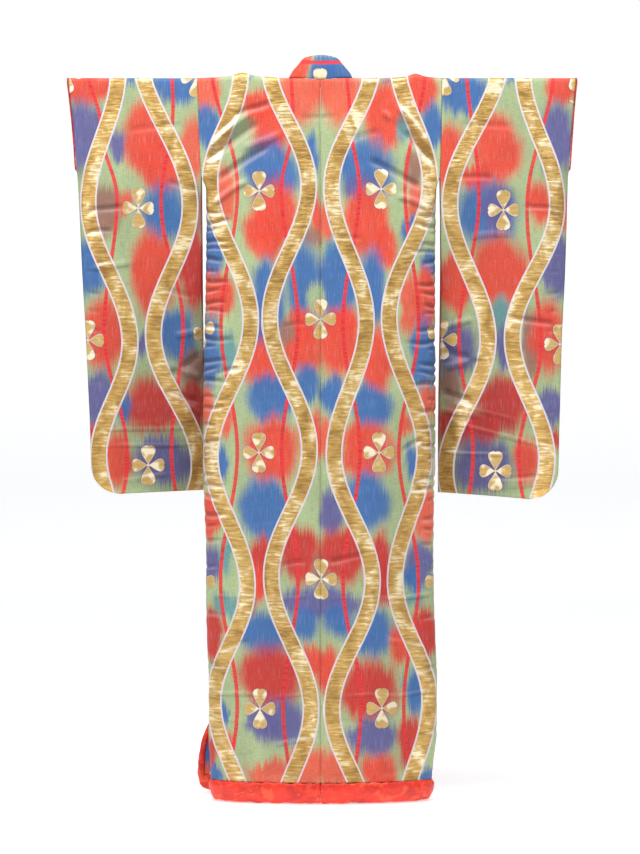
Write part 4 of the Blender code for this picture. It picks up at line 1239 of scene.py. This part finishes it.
def hem_stations(side):
    """Sections of the padded roll: centre, up, out, height, thickness."""
    lean = math.radians(ROLL_LEAN)
    down = Vector((0, 0, -1))
    half = half_width(side, HEM_DROP)
    last = half + FRONT_EDGE
    found = []
    for s in [0.0, 0.22, 0.42, 0.60, 0.75, 0.86, 0.94, 0.985]:
        x = side * (SEAM / 2 + (half - SEAM / 2) * s)
        at = back_point(side, x, HEM_DROP)
        along = (back_point(side, x + side * 0.001, HEM_DROP) - at).normalized()
        if s == 0.0:
            along = Vector((side, 0, 0))
        found.append((at, (Vector((along.y, -along.x, 0)) * side).normalized(), ROLL_HEIGHT))
    seam_at = (back_point(side, side * half, HEM_DROP) + front_point(side, side * half, HEM_DROP)) / 2
    found.append((seam_at, Vector((side, 0, 0)), ROLL_HEIGHT))
    places = [0.004, 0.014, 0.032, 0.060]
    if side > 0:
        places += [0.12, 0.20, 0.27, last - 0.050, last - 0.020]
    else:
        start = half + FOLD.at(HEM_DROP, "start")
        turn_length = math.pi * FOLD.at(HEM_DROP, "radius")
        places += [0.090, start]
        places += [start + turn_length * k / 6 for k in range(1, 7)]
        places += [start + turn_length + 0.05, last - 0.050, last - 0.020]
    for from_side in places:
        x = side * (half - from_side)
        at = front_point(side, x, HEM_DROP)
        along = (front_point(side, x - side * 0.001, HEM_DROP) - at).normalized()
        height = ROLL_HEIGHT + (ROLL_FRONT_HEIGHT - ROLL_HEIGHT) * eased(from_side / 0.12)
        if from_side > last - 0.03:
            height = ROLL_CORNER_HEIGHT
        found.append((at, (Vector((along.y, -along.x, 0)) * side).normalized(), height))
    sections = []
    for at, out_way, height in found:
        up = (-down * math.cos(lean) + out_way * math.sin(lean)).normalized()
        out_now = (out_way * math.cos(lean) + down * math.sin(lean)).normalized()
        sections.append((at - up * (SEAM + 0.0008 + height / 2), up, out_now, height, ROLL_THICKNESS))
    corner = front_point(side, -side * FRONT_EDGE, HEM_DROP)
    inside = front_point(side, -side * (FRONT_EDGE - 0.001), HEM_DROP)
    across = (corner - inside).normalized()
    out_way = Vector((across.y, -across.x, 0)).normalized() * side
    for swing, height, thick in [(0, 0.041, 0.022), (24, 0.031, 0.020), (48, 0.021, 0.017), (70, 0.018, 0.015)]:
        a = math.radians(swing)
        settle = lean * (1 - swing / 90)
        plumb = (down * math.cos(settle) - out_way * math.sin(settle)).normalized()
        way = (plumb * math.cos(a) + across * math.sin(a)).normalized()
        sections.append((corner + way * (0.0012 + height / 2), -way, out_way, height, thick))
    edge_drops = [HEM_DROP - 0.010] + [d for d in reversed(DROPS) if COLLAR_END_DROP < d < HEM_DROP]
    for drop in edge_drops + [COLLAR_END_DROP + 0.006]:
        at = front_point(side, -side * FRONT_EDGE, drop)
        inside = front_point(side, -side * (FRONT_EDGE - 0.001), drop)
        across = (at - inside).normalized()
        out_way = Vector((across.y, -across.x, 0)).normalized() * side
        swell = eased((drop - HEM_DROP + 0.05) / 0.04)
        height, thick = EDGE_ROLL_HEIGHT + 0.002 * swell, EDGE_ROLL_THICKNESS + 0.002 * swell
        sections.append((at + across * (SEAM + 0.0008 + height / 2), -across, out_way, height, thick))
    return sections


# ---- padded hem roll ----
for side, word in ((-1, "left"), (1, "right")):
    flat = np.array([(*c, *u, *o, h, t) for c, u, o, h, t in hem_stations(side)])
    line, run = evenly(flat, ROW * 1.0)
    sides = 30
    angle = np.linspace(0, 2 * math.pi, sides, endpoint=False)
    rings = []
    for k, row in enumerate(line):
        centre, up, out = row[:3], row[3:6], row[6:9]
        up = up / np.linalg.norm(up)
        out = out / np.linalg.norm(out)
        height, thick = row[9], row[10]
        s = run[k]
        ends = min(1.0, s / 0.004 + 0.9, (run[-1] - s) / 0.006 + 0.2)
        ring = []
        for a in angle:
            # the seam side is gathered, the lower edge scalloped
            top, low = max(0.0, math.cos(a)), max(0.0, -math.cos(a))
            gather = math.sin(s * 210 + 2.2 * math.sin(s * 31)) * 0.5 + math.sin(s * 340 + side) * 0.3
            scallop = abs(math.sin(s * 62 + 1.4 * math.sin(s * 17 + side))) - 0.6
            r = 1 + 0.055 * gather * top**1.5 + 0.065 * scallop * low**3 * (height / ROLL_HEIGHT)
            wrinkle = 0.0016 * (thick / ROLL_THICKNESS) * float(
                noise(np.array(s * 46 + 2.0 * a * side), np.array(a * 1.6 + s * 5), 51)
            )
            wrinkle += 0.0010 * (thick / ROLL_THICKNESS) * float(noise(np.array(s * 95 - a), np.array(a * 2.4), 52))
            # fuller than an oval, and pulled in where it is sewn on
            full = (abs(math.cos(a)) ** 2.4 + abs(math.sin(a)) ** 2.4) ** (-1 / 2.4)
            full = 1 + (full - 1) * (0.75 if math.cos(a) < 0 else 0.35)
            way = up * (height / 2 * math.cos(a)) + out * (thick / 2 * math.sin(a))
            size = np.linalg.norm(way)
            ring.append(centre + way * ends * min(full, 1.06) * (r + wrinkle / size))
        rings.append(ring)
    hem = solid_loft(f"hem_roll_{word}", np.array(rings), padded_satin)
    finish_piece(hem, "red_satin", f"fuki_{word}")

# ---- collar ----
half_rows = {}
slope = math.atan((NECK_HALF_WIDTH + FRONT_EDGE) / COLLAR_END_DROP)
for side in (-1, 1):
    stations = []
    for k, (degrees, neck) in enumerate(ARCH[1:]):
        seam = arch_point(side * neck, degrees)
        x, y, z = NECK_EDGE[k]
        edge = Vector((side * x, y, z))
        stations.append((seam + (edge - seam).normalized() * 0.0022, edge))
    for k, drop in enumerate([d for d in DROPS if d <= COLLAR_END_DROP]):
        seam_x = collar_seam(drop)
        width = COLLAR_WIDTH_TOP + (COLLAR_WIDTH_END - COLLAR_WIDTH_TOP) * drop / COLLAR_END_DROP
        seam = front_point(side, side * (seam_x - SEAM - 0.0004), drop)
        edge = front_point(side, side * (seam_x - width * math.cos(slope)), drop - width * math.sin(slope))
        if k < 2:
            x, y, z = NECK_EDGE[6 + k]
            edge = Vector((side * x, y, z))
            seam = seam + (edge - seam).normalized() * (0.0012 if k == 0 else 0.0006)
        stations.append((seam, edge))
    half_rows[side] = stations
ordered = half_rows[-1][::-1] + half_rows[1][1:]
line, run = evenly(np.array([(*seam, *edge) for seam, edge in ordered]), ROW)
# the middle of the back of the neck
middle = run[int(np.argmax(line[:, 5]))]
columns = 11
points, xs, vs = [], [], []
for row, s in zip(line, run):
    seam, edge = Vector(row[:3]), Vector(row[3:])
    outward = Vector((seam.x, seam.y - 0.02, 0)).normalized()
    bow = COLLAR_BOW * eased((seam.z + 0.10) / 0.10)
    wide = (edge - seam).length
    spots = [k / columns for k in range(columns + 1)]
    points.append([tuple(seam + (edge - seam) * t + outward * (bow * math.sin(math.pi * t))) for t in spots])
    xs.append([s - middle] * len(spots))
    vs.append([wide * t for t in spots])
points, x, across = np.array(points), np.array(xs), np.array(vs)
height = 0.0004 * noise(x * 30, across * 20, 61) + 0.0005 * noise(x * 9, across * 8, 62)
height = height * soft(across / 0.008) * soft((across.max(1, keepdims=True) - across) / 0.008)
facts = printed(x, across, COLLAR_CLOUDS, [], [], [(0.0, -0.024), (-0.33, 0.03), (0.34, 0.03), (-0.68, 0.03), (0.70, 0.03)], height)
facts["marks"][..., 1] = across - 0.0415
facts["marks"][..., 2] = np.abs(across - 0.0415)
collar = grid_piece(
    "collar_band", points, facts, [brocade], 0.0024,
    ((len(points) // 2, columns // 2), np.array((0.0, -1.0, 0.0))),
)  # fmt: skip
finish_piece(collar, "brocade", "collar")

# ---- cuff edges ----
for side, word in ((-1, "left"), (1, "right")):
    cuff_drops = list(np.linspace(0.020, CUFF_DROP, 40))
    path = [sleeve_point(side, -1, 1.0, d) for d in reversed(cuff_drops)]
    edge = sleeve_edges(side, 0.0137)[1]
    path += [arch_point(side * edge, degrees) for degrees in range(0, 181, 15)]
    path += [sleeve_point(side, 1, 1.0, d) for d in cuff_drops]
    out = side * (CUFF_CORD / 2 + SEAM + 0.0003)
    path = np.array([(p.x + out, p.y, p.z) for p in path])
    tangent = np.gradient(path, axis=0)
    rings = []
    for k, (p, t) in enumerate(zip(path, tangent)):
        t = t / np.linalg.norm(t)
        first = np.array((side, 0.0, 0.0)) - t * t[0] * side
        first /= np.linalg.norm(first)
        second = np.cross(t, first)
        r = CUFF_CORD / 2 * (1 + 0.06 * math.sin(k * 2.1))
        rings.append([p + r * (first * math.cos(a) + second * math.sin(a)) for a in np.linspace(0, 2 * math.pi, 12, endpoint=False)])
    cuff = solid_loft(f"cuff_piping_{word}", np.array(rings), cord_satin)
    finish_piece(cuff, "red_satin", f"cuff_edge_{word}")

# ---- rod ----
profile = [(-ROD_LENGTH / 2, 0.0085), (-ROD_LENGTH / 2 + 0.0006, 0.0099), (-ROD_LENGTH / 2 + 0.0018, ROD_DIAMETER / 2)]
profile += [(x, ROD_DIAMETER / 2) for x in np.linspace(-0.6, 0.6, 25)]
profile += [(-x, r) for x, r in profile[2::-1]]
rings = np.array([[(x, r * math.cos(a), r * math.sin(a)) for a in np.linspace(0, 2 * math.pi, 48, endpoint=False)] for x, r in profile])
rod = solid_loft("rod_lacquered", rings, lacquer)
finish_piece(rod, "lacquered_wood", "rod")

# ---- floor, light, camera ----
low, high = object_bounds()
floor_mesh = bpy.data.meshes.new("floor")
sweep = [(-10.0, 0.0), (8.6, 0.0), (9.6, 0.12), (10.4, 0.5), (10.9, 1.2), (11.0, 2.2), (11.0, 9.0)]
corners = [(x, y, low.z - 0.0006 + z) for y, z in sweep for x in (-12.0, 12.0)]
floor_mesh.from_pydata(corners, [], [(2 * k, 2 * k + 1, 2 * k + 3, 2 * k + 2) for k in range(len(sweep) - 1)])
floor_mesh.shade_smooth()
floor = bpy.data.objects.new("floor", floor_mesh)
bpy.context.scene.collection.objects.link(floor)
paper = bpy.data.materials.new("white_paper")
paper.use_nodes = True
shader = paper.node_tree.nodes["Principled BSDF"]
shader.inputs["Base Color"].default_value = (0.94, 0.945, 0.955, 1)
shader.inputs["Roughness"].default_value = 0.9
shader.inputs["Emission Color"].default_value = (1, 1, 1, 1)
shader.inputs["Emission Strength"].default_value = 0.50
floor.data.materials.append(paper)

world = bpy.data.worlds.new("studio")
bpy.context.scene.world = world
world.use_nodes = True
world.node_tree.nodes["Background"].inputs["Color"].default_value = (0.97, 0.98, 1.0, 1)
world.node_tree.nodes["Background"].inputs["Strength"].default_value = 0.27


def softbox(name, place, target, size, power):
    lamp = bpy.data.lights.new(name, "AREA")
    lamp.shape = "RECTANGLE"
    lamp.size, lamp.size_y = size
    lamp.energy = power
    obj = bpy.data.objects.new(name, lamp)
    obj.location = place
    obj.rotation_euler = (Vector(target) - Vector(place)).to_track_quat("-Z", "Y").to_euler()
    bpy.context.scene.collection.objects.link(obj)
    return obj


softbox("key", (-2.9, -3.0, 1.7), (0, 0, -0.8), (1.2, 1.5), 66)
softbox("fill", (2.9, -3.4, 0.2), (0, 0, -1.0), (1.4, 2.2), 20)
softbox("overhead", (0.0, -0.9, 2.3), (0, 0, -1.2), (3.0, 1.2), 100)

camera = bpy.data.objects.new("camera", bpy.data.cameras.new("camera"))
camera.location = (-0.0013, -5.6, -0.8832)
camera.rotation_euler = (math.radians(90), 0, 0)
camera.data.sensor_fit = "VERTICAL"
camera.data.sensor_height = 36
camera.data.lens = 36 * 5.6 / 2.195
bpy.context.scene.collection.objects.link(camera)
bpy.context.scene.camera = camera
bpy.context.scene.view_settings.view_transform = "Standard"
